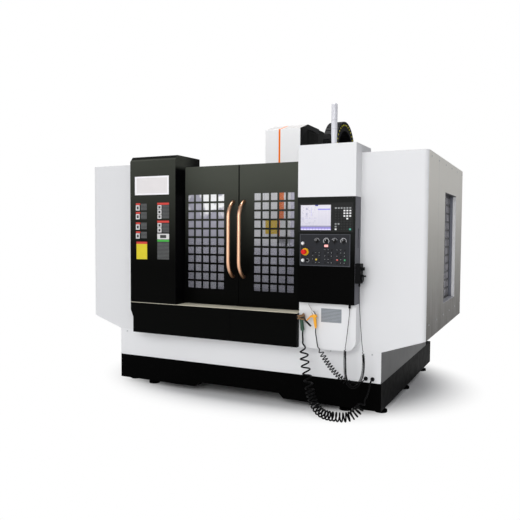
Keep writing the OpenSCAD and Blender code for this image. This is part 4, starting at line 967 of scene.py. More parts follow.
class MACHINE_OT_finishes(Job):
    """Gives each node of the frame its finish"""

    bl_idname = "machine.finishes"
    bl_label = "Finishes"

    def build(self):
        dress(white_enamel(), "control_housing", "rear_cabinet", "rear_door", "gun_hooks")
        dress(skirt_enamel(), "skirt")
        flank_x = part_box("right_wing")[1].x
        # Painted shade: the right wing's outer flank is shaded towards its foot, and the left wing is
        # darkened to 0.94 as a whole
        dress(wing_enamel(1.0, flank_x - FACE_SKIN), "right_wing")
        dress(wing_enamel(0.94, flank_x), "left_wing")
        dress(window_enamel(), "left_side_window", "right_side_window")
        dress(head_enamel(), "head_cover")
        # Each black enamel's number is its share of the painted sheen
        dress(black_enamel(), "left_door", "right_door")
        dress(cover_enamel(), "pocket_cover")
        dress(black_enamel(0.62), "apron")
        dress(black_enamel(0.1), "spindle_motor")
        dress(panel_enamel(), "control_panel")
        dress(black_casting(), "base", "levelling_feet")
        dress(grey_casting(), "column", "saddle", "spindle_head")
        dress(ground_iron(), "table")
        dress(bright_steel(), "spindle", "x_screw", "y_screw", "z_screw", "door_track")
        dress(sill_steel(), "sill")
        dress(window_pane(), "side_glass", "left_door_glass", "right_door_glass")
        dress(plate_film(), "operator_plate")
        dress(plastic("unit", (0.0065, 0.007, 0.0065)), "display")
        dress(plastic("knob", (0.003, 0.003, 0.0035), 0.35), *KNOBS)
        dress(
            plastic("pendant", (0.0025, 0.0025, 0.003), 0.5, 0.25, 0.06),
            "pendant", "handwheel", "axis_knob", "rate_knob", "key_switch", "coolant_lever",
            "hose_fittings",
        )
        dress(plastic("motor", (0.022, 0.023, 0.027), 0.5), "axis_motors", "x_motor")
        dress(plastic("stop", (0.72, 0.018, 0.012), 0.3, 0.04), "emergency_stop", "main_switch")
        dress(plastic("button", (0.82, 0.82, 0.82), 0.3, 0.04), "start_button", "hold_button")
        dress(lamp_plastic(), "signal_lamp")
        dress(gun_green(), "coolant_gun")
        dress(gun_yellow(), "air_gun")
        dress(plastic("trigger", (0.82, 0.33, 0.012), 0.35), "air_trigger")


GRIP_BOW = 150 * MM
GRIP_STUB = 12 * MM
GRIP_START = math.radians(30)
GRIP_STEPS = 24


class MACHINE_OT_handles(Job):
    """Smooth bowed door handles"""

    bl_idname = "machine.handles"
    bl_label = "Door handles"

    def build(self):
        for side in ("left", "right"):
            node = f"{side}_handle"
            low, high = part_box(node)
            radius = (high.x - low.x) / 2
            middle_x, middle_z = (low.x + high.x) / 2, (low.z + high.z) / 2
            top = high.z - radius - middle_z
            reach = high.y - low.y - radius
            upper = [Vector((middle_x, high.y, middle_z + top))]
            for i in range(GRIP_STEPS + 1):
                angle = GRIP_START + (math.pi / 2 - GRIP_START) * i / GRIP_STEPS
                out = (math.sin(angle) - math.sin(GRIP_START)) / (1 - math.sin(GRIP_START))
                upper.append(
                    Vector((
                        middle_x,
                        high.y - GRIP_STUB - (reach - GRIP_STUB) * out,
                        middle_z + top - GRIP_BOW * (1 - math.cos(angle) / math.cos(GRIP_START)),
                    ))
                )
            lower = [Vector((p.x, p.y, 2 * middle_z - p.z)) for p in reversed(upper)]
            made = tube_mesh(upper + lower, radius, sizes().grip_sides)
            piece = add_mesh(f"{side}_grip", made, copper_lacquer(), f"{side}_door")
            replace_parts(smooth(piece), node)


SCREEN_SIZE = (272 * MM, 212 * MM)
SCREEN_EDGE = (20 * MM, 16 * MM)
SCREEN_SINK = 2 * MM
SCREEN_T = 0.8 * MM
SCREEN_RIM = 3 * MM
SCREEN_RIM_T = 1.2 * MM


class MACHINE_OT_screen(Job):
    """Lit screen in the display unit and its raised rim"""

    bl_idname = "machine.screen"
    bl_label = "Screen"

    def build(self):
        low_x, low_z = UNIT_LOW.x + SCREEN_EDGE[0], UNIT_LOW.z + SCREEN_EDGE[1]
        width, height = SCREEN_SIZE
        depth = PLATE_FACE + SCREEN_SINK
        glass = screen_glow(round(low_x, 4), round(low_z, 4), width, height)
        slab(
            "screen", (low_x, depth - SCREEN_T, low_z), (low_x + width, depth, low_z + height),
            0.3 * MM, glass, "frame",
        )
        rim = SCREEN_RIM
        bars = bmesh.new()
        for low, high in (
            ((-rim, -rim), (width + rim, 0.0)),
            ((-rim, height), (width + rim, height + rim)),
            ((-rim, 0.0), (0.0, height)),
            ((width, 0.0), (width + rim, height)),
        ):
            part = slab_mesh(
                (low_x + low[0], PLATE_FACE - SCREEN_RIM_T, low_z + low[1]),
                (low_x + high[0], PLATE_FACE, low_z + high[1]), 0.4 * MM,
            )
            add_part(bars, part)
        add_mesh("screen_rim", bars, plastic("rim", (0.010, 0.010, 0.011)), "frame")


UNIT_PITCH = (25 * MM, 22 * MM)
UNIT_KEY = (18 * MM, 15 * MM)
UNIT_EDGE = 16 * MM
UNIT_COLUMNS, UNIT_ROWS = 6, 9
# Columns count from the right and rows from below
UNIT_WHITE = {(i, k) for i in range(3) for k in (5, 6, 7)} | {(1, 4), (5, 0)}
UNIT_PALE = {(i, 8) for i in range(6)} | {(5, 2), (4, 2), (5, 1)}
UNIT_GREEN = {(0, 0)}
KEY_CAP = 0.8 * MM
UNIT_CAP = (16 * MM, 13 * MM)
PLATE_CAP = (13 * MM, 13 * MM)
MARK_HALF = 2.4 * MM
MARK_T = 0.2 * MM
MARK_SHIFT = 3 * MM

KEY_ROWS = (0.1, 0.205, 0.31, 0.41, 0.505)
KEY_COLUMNS = (0.273, 0.338, 0.403, 0.518, 0.583, 0.647, 0.755, 0.83, 0.9)
# The first columns, this many, have one key less
KEY_SHORT = 3
KEY_T = 3 * MM
KEY_YELLOW = {(1, 1)}
KEY_RED = {(6, 1)}
KEY_GREEN = {(8, 1)}


def key_cap(width, height):
    """A rounded cap that sits on a key of the frame."""
    return slab_mesh((-width / 2, -KEY_CAP, -height / 2), (width / 2, 0.0, height / 2), 0.3 * MM)


class MACHINE_OT_keys(Job):
    """Caps on the keys of the display unit and the operator plate"""

    bl_idname = "machine.keys"
    bl_label = "Keys"

    def build(self):
        def unit_place(spot):
            return Vector((
                UNIT_HIGH.x - UNIT_EDGE - UNIT_KEY[0] / 2 - spot[0] * UNIT_PITCH[0],
                UNIT_LOW.y,
                UNIT_LOW.z + UNIT_EDGE + UNIT_KEY[1] / 2 + spot[1] * UNIT_PITCH[1],
            ))

        def plate_place(spot):
            return on_plate(KEY_COLUMNS[spot[0]], KEY_ROWS[spot[1]]) - Vector((0, KEY_T, 0))

        def caps(piece, finish_name, place, size, slot, groups):
            for label, spots, colour in groups:
                points = [place(spot) for spot in sorted(spots)]
                made = plastic(f"{finish_name}_{label}", colour, 0.4, 0.05)
                stamp(f"{piece}_{label}", points, key_cap(*size), made, "frame", slot)

        every = {(i, k) for i in range(UNIT_COLUMNS) for k in range(UNIT_ROWS)}
        caps("unit_keys", "key", unit_place, UNIT_CAP, "black_plastic", (
            ("white", UNIT_WHITE, (0.80, 0.80, 0.80)),
            ("pale", UNIT_PALE, (0.30, 0.31, 0.31)),
            ("green", UNIT_GREEN, (0.10, 0.42, 0.33)),
            ("dark", every - UNIT_WHITE - UNIT_PALE - UNIT_GREEN, (0.018, 0.019, 0.019)),
        ))
        rows = [len(KEY_ROWS) - (1 if i < KEY_SHORT else 0) for i in range(len(KEY_COLUMNS))]
        every = {(i, k) for i, length in enumerate(rows) for k in range(length)}
        caps("plate_keys", "plate_key", plate_place, PLATE_CAP, "plate_grey", (
            ("yellow", KEY_YELLOW, (0.85, 0.62, 0.02)),
            ("red", KEY_RED, (0.70, 0.10, 0.07)),
            ("green", KEY_GREEN, (0.06, 0.35, 0.14)),
            ("dark", every - KEY_YELLOW - KEY_RED - KEY_GREEN, (0.003, 0.003, 0.0035)),
        ))
        corner = Vector((-MARK_SHIFT, -KEY_CAP, MARK_SHIFT))
        lit = [plate_place(s) + corner for s in sorted(every) if (s[0] + s[1]) % 3]
        mark = slab_mesh((-MARK_HALF, -MARK_T, -MARK_HALF), (MARK_HALF, 0.0, MARK_HALF), 0.05 * MM)
        stamp("key_marks", lit, mark, plastic("key_mark", (0.42, 0.43, 0.45)), "frame", "plate_grey")


KNOB_SHARES = ((0.345, 0.785), (0.532, 0.785), (0.698, 0.785), (0.87, 0.785))
STOP_SHARE = (0.112, 0.44)
BUTTON_SHARES = ((0.062, 0.705), (0.066, 0.17), (0.158, 0.17))
DIAL_MARKS = (9, 27, 9, 23)
DIAL_SWEEPS = (150, 250, 120, 220)
DIAL_RADIUS = 24 * MM
DIAL_MARK = (2.2 * MM, 0.3 * MM, 6 * MM)
DIAL_LIFT = 0.2 * MM
POINTER_HALF = 1.4 * MM
POINTER_SPAN = (2 * MM, 16 * MM)
POINTER_T = 0.25 * MM


class MACHINE_OT_dials(Job):
    """Printed marks round the rotary knobs, and their pointer lines"""

    bl_idname = "machine.dials"
    bl_label = "Dials"

    def build(self):
        ink = flat_tone("print", (0.72, 0.72, 0.74), 0.5)
        tree = dial_tree()
        for number, share in enumerate(KNOB_SHARES):
            values = {
                "Middle": on_plate(*share) - Vector((0, DIAL_LIFT, 0)),
                "Count": DIAL_MARKS[number],
                "Radius": DIAL_RADIUS,
                "Sweep": math.radians(DIAL_SWEEPS[number]),
                "Mark": DIAL_MARK,
                "Finish": ink,
            }
            tree.bake(f"dial_{number + 1}", point_object([(0, 0, 0)]), values, "frame", "plate_grey")
        for name, share in zip(KNOBS, KNOB_SHARES):
            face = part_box(name)[0].y
            spot = on_plate(*share)
            slab(
                f"{name}_line", (spot.x - POINTER_HALF, face - POINTER_T, spot.z + POINTER_SPAN[0]),
                (spot.x + POINTER_HALF, face, spot.z + POINTER_SPAN[1]), 0.05 * MM,
                ink, name,
            )


STOP_RING = (13 * MM, 32 * MM, 8 * MM)
BEZEL = (12.6 * MM, 16 * MM, 5 * MM)
RING_OVER = 0.5 * MM
RING_OUT = 0.4 * MM
RING_CHAMFER = (2 * MM, 1.5 * MM)
RING_SIDES = 48


class MACHINE_OT_rings(Job):
    """Yellow ring round the stop button and bright bezels round the push-buttons"""

    bl_idname = "machine.rings"
    bl_label = "Rings and bezels"

    def build(self):
        stood = Matrix.Rotation(math.pi / 2, 4, "X")

        def ring(name, share, size, material, slot):
            inner, outer, height = size
            top, wide = height + RING_OVER, outer + RING_OUT
            profile = [
                (inner, top), (outer - RING_CHAMFER[0], top), (wide, height - RING_CHAMFER[1]),
                (wide, 0.0), (inner, 0.0), (inner, top),
            ]
            made = turned_mesh(profile, RING_SIDES)
            bmesh.ops.remove_doubles(made, verts=made.verts, dist=TOUCH)
            made.transform(Matrix.Translation(on_plate(*share)) @ stood)
            return smooth(add_mesh(name, made, material, "frame"))

        yellow = plastic("stop_ring", (0.90, 0.50, 0.01), 0.35, 0.05)
        ring("stop_ring", STOP_SHARE, STOP_RING, yellow, "gun_yellow")
        steel = flat_tone("bezel", (0.55, 0.56, 0.58), 0.3, 0.9)
        for number, share in enumerate(BUTTON_SHARES):
            ring(f"bezel_{number + 1}", share, BEZEL, steel, "bare_steel")


# Places of the plates and the plain fields, in metres: widths as left and right, heights as low and high
HOUSING_FACE = -1.194
COVER_PLATE_X, COVER_PLATE_Z = (-1.071, -0.670), (1.914, 2.094)
COVER_FIELD_X, COVER_FIELD_Z = (-1.049, -0.689), (1.930, 2.078)
HOUSING_PLATE_X, HOUSING_PLATE_Z = (0.868, 1.050), (0.793, 0.911)
HEAD_FIELD_X, HEAD_FIELD_Z = (-0.200, -0.060), (1.540, 1.692)
TAB_LINES = (1.818, 1.732, 1.630, 1.542)
# Heights of the red field, the icon and the bars of a tab, from its line
TAB_SPANS = ((0.0, 17 * MM), (-54 * MM, -3 * MM), (-52 * MM, 15 * MM))
TAB_RED_X, TAB_ICON_X, TAB_BARS_X = (-1.061, -1.008), (-1.061, -1.016), (-1.000, -0.930)
CARD_X = (-1.055, -0.926)
CARD_FOOT, CARD_LINE, CARD_TOP = 1.286, 1.436, 1.458
BAND_X, BAND_ICON_X, BAND_BARS_X = (-0.805, -0.668), (-0.802, -0.756), (-0.748, -0.668)
# Height of a red band, drop of the field under it and number of icons in it
BANDS = ((1.816, 0.134, 3), (1.644, 0.094, 2))
BAND_RED_H = 20 * MM
BAND_GAP = 4 * MM
LOW_ICON_Z, LOW_GREEN_Z, LOW_BARS_Z = (1.484, 1.538), (1.461, 1.480), (1.290, 1.458)
ICON_INSET_SHARES = (0.24, 0.22)
FIELD_T = 0.6 * MM
ICON_CORE_T = 0.8 * MM


class MACHINE_OT_plates(Job):
    """Bare plates and plain colour fields on the left cover, the housing and the head"""

    bl_idname = "machine.plates"
    bl_label = "Plates"

    def build(self):
        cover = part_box("pocket_cover")[0].y
        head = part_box("head_cover")[0].y

        def plate(name, xs, zs, front, thick, edge, material, body="frame"):
            slab(name, (xs[0], front - thick, zs[0]), (xs[1], front, zs[1]), edge, material, body)

        def field(name, xs, zs, material, thick=FIELD_T):
            plate(name, xs, zs, cover, thick, 0.15 * MM, material)

        def icon(name, xs, zs):
            field(name, xs, zs, white)
            inset_x, inset_z = (s * (b - a) for s, (a, b) in zip(ICON_INSET_SHARES, (xs, zs)))
            core_x, core_z = (xs[0] + inset_x, xs[1] - inset_x), (zs[0] + inset_z, zs[1] - inset_z)
            field(f"{name}_core", core_x, core_z, dark, ICON_CORE_T)

        pale = flat_tone("pale_plate", (0.90, 0.88, 0.90), 0.35)
        paler = flat_tone("pale_field", (0.76, 0.73, 0.73), 0.4)
        silver = barred_tone("silver_plate", (0.31, 0.335, 0.36), (0.12, 0.135, 0.155), 12 * MM)
        plate("cover_plate", COVER_PLATE_X, COVER_PLATE_Z, cover, 2 * MM, 0.8 * MM, pale)
        plate("cover_plate_field", COVER_FIELD_X, COVER_FIELD_Z, cover - 1.8 * MM, 0.8 * MM, 0.2 * MM, paler)
        plate(
            "housing_plate", HOUSING_PLATE_X, HOUSING_PLATE_Z, HOUSING_FACE, 1.5 * MM, 0.6 * MM, silver,
        )
        red = flat_tone("red_field", (0.60, 0.040, 0.028), 0.45)
        white = flat_tone("white_field", (0.66, 0.65, 0.65), 0.45)
        dark = flat_tone("dark_field", (0.03, 0.03, 0.03), 0.45)
        green = flat_tone("green_field", (0.05, 0.42, 0.05), 0.45)
        yellow = flat_tone("yellow_field", (0.92, 0.62, 0.004), 0.45)
        grey = barred_tone("grey", (0.014, 0.015, 0.015), (0.13, 0.135, 0.135), 13 * MM)
        ochre = barred_tone("ochre", (0.74, 0.62, 0.01), (0.50, 0.41, 0.01), 11 * MM)

        for i, z in enumerate(TAB_LINES):
            red_z, icon_z, bars_z = ((z + low, z + high) for low, high in TAB_SPANS)
            field(f"tab_red_{i}", TAB_RED_X, red_z, red)
            icon(f"tab_icon_{i}", TAB_ICON_X, icon_z)
            field(f"tab_bars_{i}", TAB_BARS_X, bars_z, grey)
        field("field_red", CARD_X, (CARD_LINE, CARD_TOP), red)
        field("field_yellow", CARD_X, (CARD_FOOT, CARD_LINE), ochre)
        for i, (z, drop, icons) in enumerate(BANDS):
            field(f"band_red_{i}", BAND_X, (z, z + BAND_RED_H), red)
            for k in range(icons):
                top = z - BAND_GAP - k * drop / icons
                icon(f"band_icon_{i}_{k}", BAND_ICON_X, (top - drop / icons + BAND_GAP, top))
            field(f"band_bars_{i}", BAND_BARS_X, (z - drop, z - BAND_GAP), grey)
        icon("band_icon_low", BAND_X, LOW_ICON_Z)
        field("band_green", BAND_X, LOW_GREEN_Z, green)
        field("band_bars_low", BAND_X, LOW_BARS_Z, grey)
        plate(
            "head_field", HEAD_FIELD_X, HEAD_FIELD_Z, head, 0.8 * MM, 0.2 * MM, yellow, "head"
        )


# Routes of the free hoses and the cord, in millimetres, with the diameter of the coil at each point
COOLANT_ROUTE = (
    (716, -1238, 700, 12), (716, -1238, 670, 12), (720, -1240, 630, 12), (726, -1246, 590, 16),
    (732, -1252, 550, 76), (739, -1256, 500, 84), (748, -1260, 440, 84), (762, -1266, 380, 84),
    (778, -1272, 320, 84), (794, -1280, 260, 84), (812, -1290, 200, 84), (838, -1304, 140, 84),
    (874, -1324, 92, 84), (924, -1346, 58, 84), (986, -1364, 44, 84), (1052, -1372, 44, 84),
    (1118, -1366, 44, 84), (1178, -1344, 54, 84), (1222, -1306, 86, 84), (1250, -1262, 130, 80),
    (1270, -1226, 168, 16), (1286, -1202, 214, 12), (1294, -1186, 258, 12), (1297, -1168, 292, 12),
    (1298, -1150, 312, 12), (1298, -1134, 322, 12), (1298, -1120, 322, 12),
)
AIR_ROUTE = (
    (836, -1238, 742, 8), (836, -1238, 700, 8), (844, -1238, 650, 8), (852, -1238, 604, 8),
    (864, -1238, 568, 16), (884, -1236, 540, 48), (916, -1234, 492, 50), (956, -1234, 438, 50),
    (1000, -1234, 390, 50), (1046, -1232, 350, 50), (1092, -1226, 318, 50), (1136, -1208, 298, 48),
    (1172, -1188, 292, 14), (1202, -1170, 296, 8), (1224, -1152, 306, 8), (1236, -1138, 316, 8),
    (1240, -1128, 322, 8), (1240, -1120, 322, 8),
)
CORD_ROUTE = (
    (1128, -1218, 927, 7), (1128, -1218, 890, 7), (1122, -1222, 820, 7), (1114, -1230, 720, 7),
    (1106, -1244, 620, 7), (1104, -1254, 580, 24), (1106, -1262, 520, 27), (1110, -1268, 440, 27),
    (1118, -1274, 370, 27), (1134, -1278, 316, 27), (1160, -1280, 286, 27), (1192, -1280, 282, 27),
    (1222, -1278, 302, 27), (1246, -1272, 346, 27), (1262, -1264, 410, 27), (1264, -1254, 490, 27),
    (1256, -1240, 560, 24), (1246, -1228, 600, 7), (1230, -1206, 680, 7), (1216, -1194, 800, 7),
    (1206, -1189, 920, 7), (1200, -1188, 1040, 7), (1200, -1188, 1110, 7),
)
TURN_STEPS = 18
KNOT_STEPS = 24
PATH_STEP = 1.0 * MM
LEAST_GAP = 2.2 * MM
COIL_LEAST = 20 * MM
COIL_PLAY = 0.5 * MM
FULL_SHARE = 0.88
EASE_DIAMETERS = 2.5


def spline(route, step):
    """Points at even steps on a smooth curve through a route, each with the coil's diameter there."""
    knots = [Vector([MM * c for c in p]) for p in route]
    dense = []
    for i in range(len(knots) - 1):
        before, after = knots[max(i - 1, 0)], knots[min(i + 2, len(knots) - 1)]
        start, end = knots[i], knots[i + 1]
        for k in range(KNOT_STEPS):
            t = k / KNOT_STEPS
            dense.append(
                0.5 * (2 * start + (end - before) * t + (2 * before - 5 * start + 4 * end - after) * t ** 2
                       + (3 * start - before - 3 * end + after) * t ** 3)
            )
    dense.append(knots[-1])
    even, run, goal = [dense[0]], 0.0, step
    for start, end in zip(dense, dense[1:]):
        span = (end.xyz - start.xyz).length
        while run + span >= goal:
            even.append(start.lerp(end, (goal - run) / span))
            goal += step
        run += span
    even.append(dense[-1])
    return [(Vector(p[:3]), p[3]) for p in even]


def eased(values, span):
    """Values with their steps spread over a span of neighbours, by two running means."""
    for _ in range(2):
        sums = [0.0]
        for value in values:
            sums.append(sums[-1] + value)
        last = len(values)
        ends = [(max(0, i - span), min(last, i + span + 1)) for i in range(last)]
        values = [(sums[b] - sums[a]) / (b - a) for a, b in ends]
    return values


def curly_path(route, diameter, pitch, loose):
    """Centre line of a hose that is straight at its ends and wound in its middle.

    The first loose turns, given as their number and pitch, are drawn out further than the rest.
    Where the coil opens out of the straight end, its pitch is long enough to bend no tighter than the coil.
    """
    line = spline(route, PATH_STEP)
    tangents, normals = transport([point for point, coil in line])
    reaches = [(coil - diameter) / 2 - COIL_PLAY if coil > COIL_LEAST else 0.0 for point, coil in line]
    full = FULL_SHARE * max(reaches)
    reaches = eased(reaches, int(EASE_DIAMETERS * diameter / PATH_STEP))
    path, phase, last = [], 0.0, None
    for (point, coil), tangent, normal, reach in zip(line, tangents, normals, reaches):
        side = tangent.cross(normal)
        drawn = loose[1] if phase < 2 * math.pi * loose[0] else pitch
        phase += PATH_STEP / max(drawn / (2 * math.pi), math.sqrt(max(0.0, reach * (full - reach))))
        spot = point + reach * (math.cos(phase) * normal + math.sin(phase) * side)
        gap = max(LEAST_GAP, 2 * math.pi * reach / TURN_STEPS)
        if last is None or (spot - last).length >= gap:
            path.append(spot)
            last = spot
    while (line[-1][0] - path[-1]).length < LEAST_GAP:
        path.pop()
    path.append(line[-1][0])
    return path


def hose_piece(name, path, diameter):
    """A round hose along a path, as a curve with one open spline, in place of its node."""
    curve = bpy.data.curves.new(name, "CURVE")
    curve.dimensions = "3D"
    curve.bevel_depth = diameter / 2
    curve.bevel_resolution = 3
    curve.use_fill_caps = True
    line = curve.splines.new("POLY")
    line.points.add(len(path) - 1)
    for spot, point in zip(line.points, path):
        spot.co = (*point, 1.0)
    line.use_smooth = True
    curve.materials.append(rubber())
    piece = link_object(name, curve)
    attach(piece, "frame")
    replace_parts(piece, name.replace("_coil", ""))
    length = sum((b - a).length for a, b in zip(path, path[1:]))


class MACHINE_OT_cords(Job):
    """Coolant hose, air hose and pendant cord"""

    bl_idname = "machine.cords"
    bl_label = "Hoses and cord"

    def build(self):
        kit = sizes()
        for name, route, diameter, pitch, loose, stiffness in (
            ("coolant_hose_coil", COOLANT_ROUTE, kit.coolant_d, 30 * MM, (7.6, 62 * MM), "medium"),
            ("air_hose_coil", AIR_ROUTE, kit.air_d, 25 * MM, (7, 36 * MM), "medium"),
            ("pendant_cord_coil", CORD_ROUTE, kit.cord_d, 7.5 * MM, (0, 8 * MM), "limp"),
        ):
            hose_piece(name, curly_path(route, diameter, pitch, loose), diameter)


LINK_SIZE = (151 * MM, 52 * MM, 96 * MM)
LINK_RIM = 12 * MM
LINK_SINK = 4 * MM
LINK_PLAY = 4 * MM
ARCH_STEPS = 48
PIN_PROFILE = ((0.0, 0.0), (9 * MM, 0.0), (9 * MM, 3 * MM), (6 * MM, 5 * MM), (0.0, 5 * MM))
PIN_DROP = 10 * MM
PIN_SIDES = 14


class MACHINE_OT_carrier(Job):
    """Cable carrier made of links"""

    bl_idname = "machine.carrier"
    bl_label = "Cable carrier"

    def build(self):
        low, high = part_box("cable_carrier")
        middle_x = (low.x + high.x) / 2
        outer = (high.y - low.y) / 2
        thick = LINK_SIZE[2] + LINK_PLAY
        radius = outer - thick / 2
        middle_y, arch_z = (low.y + high.y) / 2, high.z - outer
        foot = low.z + LINK_SIZE[1] / 2
        path = [Vector((middle_x, middle_y + radius, foot))]
        for i in range(ARCH_STEPS + 1):
            angle = math.pi * i / ARCH_STEPS
            y, z = middle_y + radius * math.cos(angle), arch_z + radius * math.sin(angle)
            path.append(Vector((middle_x, y, z)))
        path.append(Vector((middle_x, middle_y - radius, foot)))
        tree = path_tree()
        black = plastic("carrier", (0.004, 0.004, 0.0045), 0.4, 0.12, 0.07)
        yellow = plastic("carrier_pin", (0.66, 0.60, 0.03))
        stamps = {
            "carrier_links": (self.link(), black, "black_plastic"),
            "carrier_pins": (self.pins(), yellow, "gun_yellow"),
        }
        for name, (shape, material, slot) in stamps.items():
            shape_object = stamp_object(shape)
            values = {"Link": shape_object, "Count": sizes().link_count, "Finish": material}
            piece = tree.bake(name, point_object(path, True), values, None, slot)
            bpy.data.objects.remove(shape_object)
            middle_y + radius - thick / 2
            middle_y - radius + thick / 2
            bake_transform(piece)
            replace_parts(piece, "cable_carrier")

    @staticmethod
    def link():
        """A link with sunk side faces."""
        made = slab_mesh(*[[s * v / 2 for v in LINK_SIZE] for s in (-1, 1)], 3 * MM)
        sides = [f for f in made.faces if abs(f.normal.x) > 0.9 and f.calc_area() > 1e-3]
        bmesh.ops.inset_individual(made, faces=sides, thickness=LINK_RIM, depth=-LINK_SINK)
        return made

    @staticmethod
    def pins():
        """One pin head on each side of a link."""
        made = bmesh.new()
        for side in (-1, 1):
            spot = Matrix.Translation((side * (LINK_SIZE[0] / 2 - LINK_SINK), 0, -PIN_DROP))
            turn = Matrix.Rotation(side * math.pi / 2, 4, "Y")
            add_part(made, turned_mesh(PIN_PROFILE, PIN_SIDES), spot @ turn)
        return made


SCREW_SHARES = ((0.0, 0.22), (0.22, 0.22), (0.26, 0.34), (0.44, 0.30), (0.5, 0.14), (0.5, 0.0), (0.0, 0.0))
SCREW_SIDES = 14
WING_ROW_Z = 0.80
WING_ROW_DROP = 44 * MM
WING_ROW_ENDS = (0.12, 0.06)
SKIRT_ROW_Z = 0.53
SKIRT_ROW_END = 80 * MM
SKIRT_SINK = 6 * MM
DOOR_ROW_EDGE = 40 * MM
DOOR_ROW_DEPTH = 30 * MM


class MACHINE_OT_screws(Job):
    """Screw heads on the wings, the skirt and the rear door"""

    bl_idname = "machine.screws"
    bl_label = "Screws"

    def build(self):
        size = sizes().screw_d
        profile = [(size * r, size * h) for r, h in SCREW_SHARES]
        steel = flat_tone("screw", (0.50, 0.51, 0.52), 0.3, 0.9)

        def line(start, end, count):
            start, end = Vector(start), Vector(end)
            return [start.lerp(end, i / (count - 1)) for i in range(count)]

        def screws(name, points, turn, body="frame"):
            stamp(name, points, turned_mesh(profile, SCREW_SIDES), steel, body, "bare_steel", turn)

        quarter = math.pi / 2
        for side, turn, corner in (("right", quarter, 1), ("left", -quarter, 0)):
            low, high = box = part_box(f"{side}_wing")
            x = box[corner].x
            front, rear = low.y + WING_ROW_ENDS[0], high.y - WING_ROW_ENDS[1]
            rows = [line((x, front, z), (x, rear, z), 6) for z in (WING_ROW_Z, high.z - WING_ROW_DROP)]
            screws(f"{side}_wing_screws", rows[0] + rows[1], (0, turn, 0))
        low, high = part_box("skirt")
        front = low.y + SKIRT_SINK
        left, right = low.x + SKIRT_ROW_END, high.x - SKIRT_ROW_END
        row = line((left, front, SKIRT_ROW_Z), (right, front, SKIRT_ROW_Z), 8)
        screws("skirt_screws", row, (quarter, 0, 0))
        low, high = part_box("rear_door")
        x, y = low.x + DOOR_ROW_EDGE, low.y + DOOR_ROW_DEPTH
        row = line((x, y, low.z + DOOR_ROW_EDGE), (x, y, high.z - DOOR_ROW_EDGE), 4)
        screws("rear_door_screws", row, (-quarter, 0, 0), "rear_door")


WIPER_DEPTH = 7 * MM
WIPER_CLEAR = 0.6 * MM
WIPER_OUT = 1.5 * MM
SEAL_T = 5 * MM
SEAL_CLEAR = 1 * MM
SEAL_H = 13 * MM
SEAL_REACH = (60 * MM, 230 * MM)


class MACHINE_OT_wipers(Job):
    """Rubber wipers beside the doors, and the seal over the left one"""

    bl_idname = "machine.wipers"
    bl_label = "Door wipers"

    def build(self):
        edge_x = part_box("pocket_cover")[1].x
        house_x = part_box("control_housing")[0].x
        low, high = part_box("left_door")

        def wiper(name, start, end, edge):
            slab(name, start, end, edge, rubber(), "frame")

        wall_x, foot = edge_x - SHEET_T, high.z + SEAL_CLEAR
        wiper(
            "pocket_seal", (wall_x - SEAL_T, low.y - SEAL_REACH[0], foot),
            (wall_x, low.y + SEAL_REACH[1], foot + SEAL_H), 0.4 * MM,
        )
        front, back = low.y - WIPER_DEPTH, low.y - WIPER_CLEAR
        for name, low_x, high_x in (
            ("left_wiper", wall_x, edge_x + WIPER_OUT),
            ("right_wiper", house_x - WIPER_OUT, house_x + SHEET_T),
        ):
            wiper(name, (low_x, front, low.z), (high_x, back, high.z), 0.5 * MM)


# Stage

# Focal length and frame width in pixels, as fitted to the photograph
FOCAL = 596.94
FRAME_PX = 520
SENSOR_W = 36.0
FAR_CLIP = 200.0
CAMERA_PLACE = Vector((2.6377, -5.9996, 1.5585))
CAMERA_YAW, CAMERA_PITCH, CAMERA_ROLL = (math.radians(v) for v in (26.13, 2.67, 0.34))
FLOOR_HALF = 60.0
FLOOR_SHARES = (0.62, 0.76)
FLOOR_FADE = (0.88, 1.32)
WHITE = (1.0, 1.0, 1.0, 1.0)
SKY = (0.96, 0.97, 1.0, 1.0)
# Span across the sky from the middle to the right, and the strength of its light at either end
SKY_FADE = (0.0, 0.8, 0.52, 0.46)
# Name, place, aim, width and power of each lamp
LAMPS = (
    ("front_lamp", (1.0, -8.0, 3.6), (0.0, -0.5, 1.5), 4.5, 232.0),
    ("left_lamp", (-6.5, -4.5, 3.6), (0.0, -0.5, 1.2), 3.5, 40.0),
    ("top_lamp", (-0.4, -0.6, 6.5), (-0.2, -0.3, 1.0), 2.6, 200.0),
)


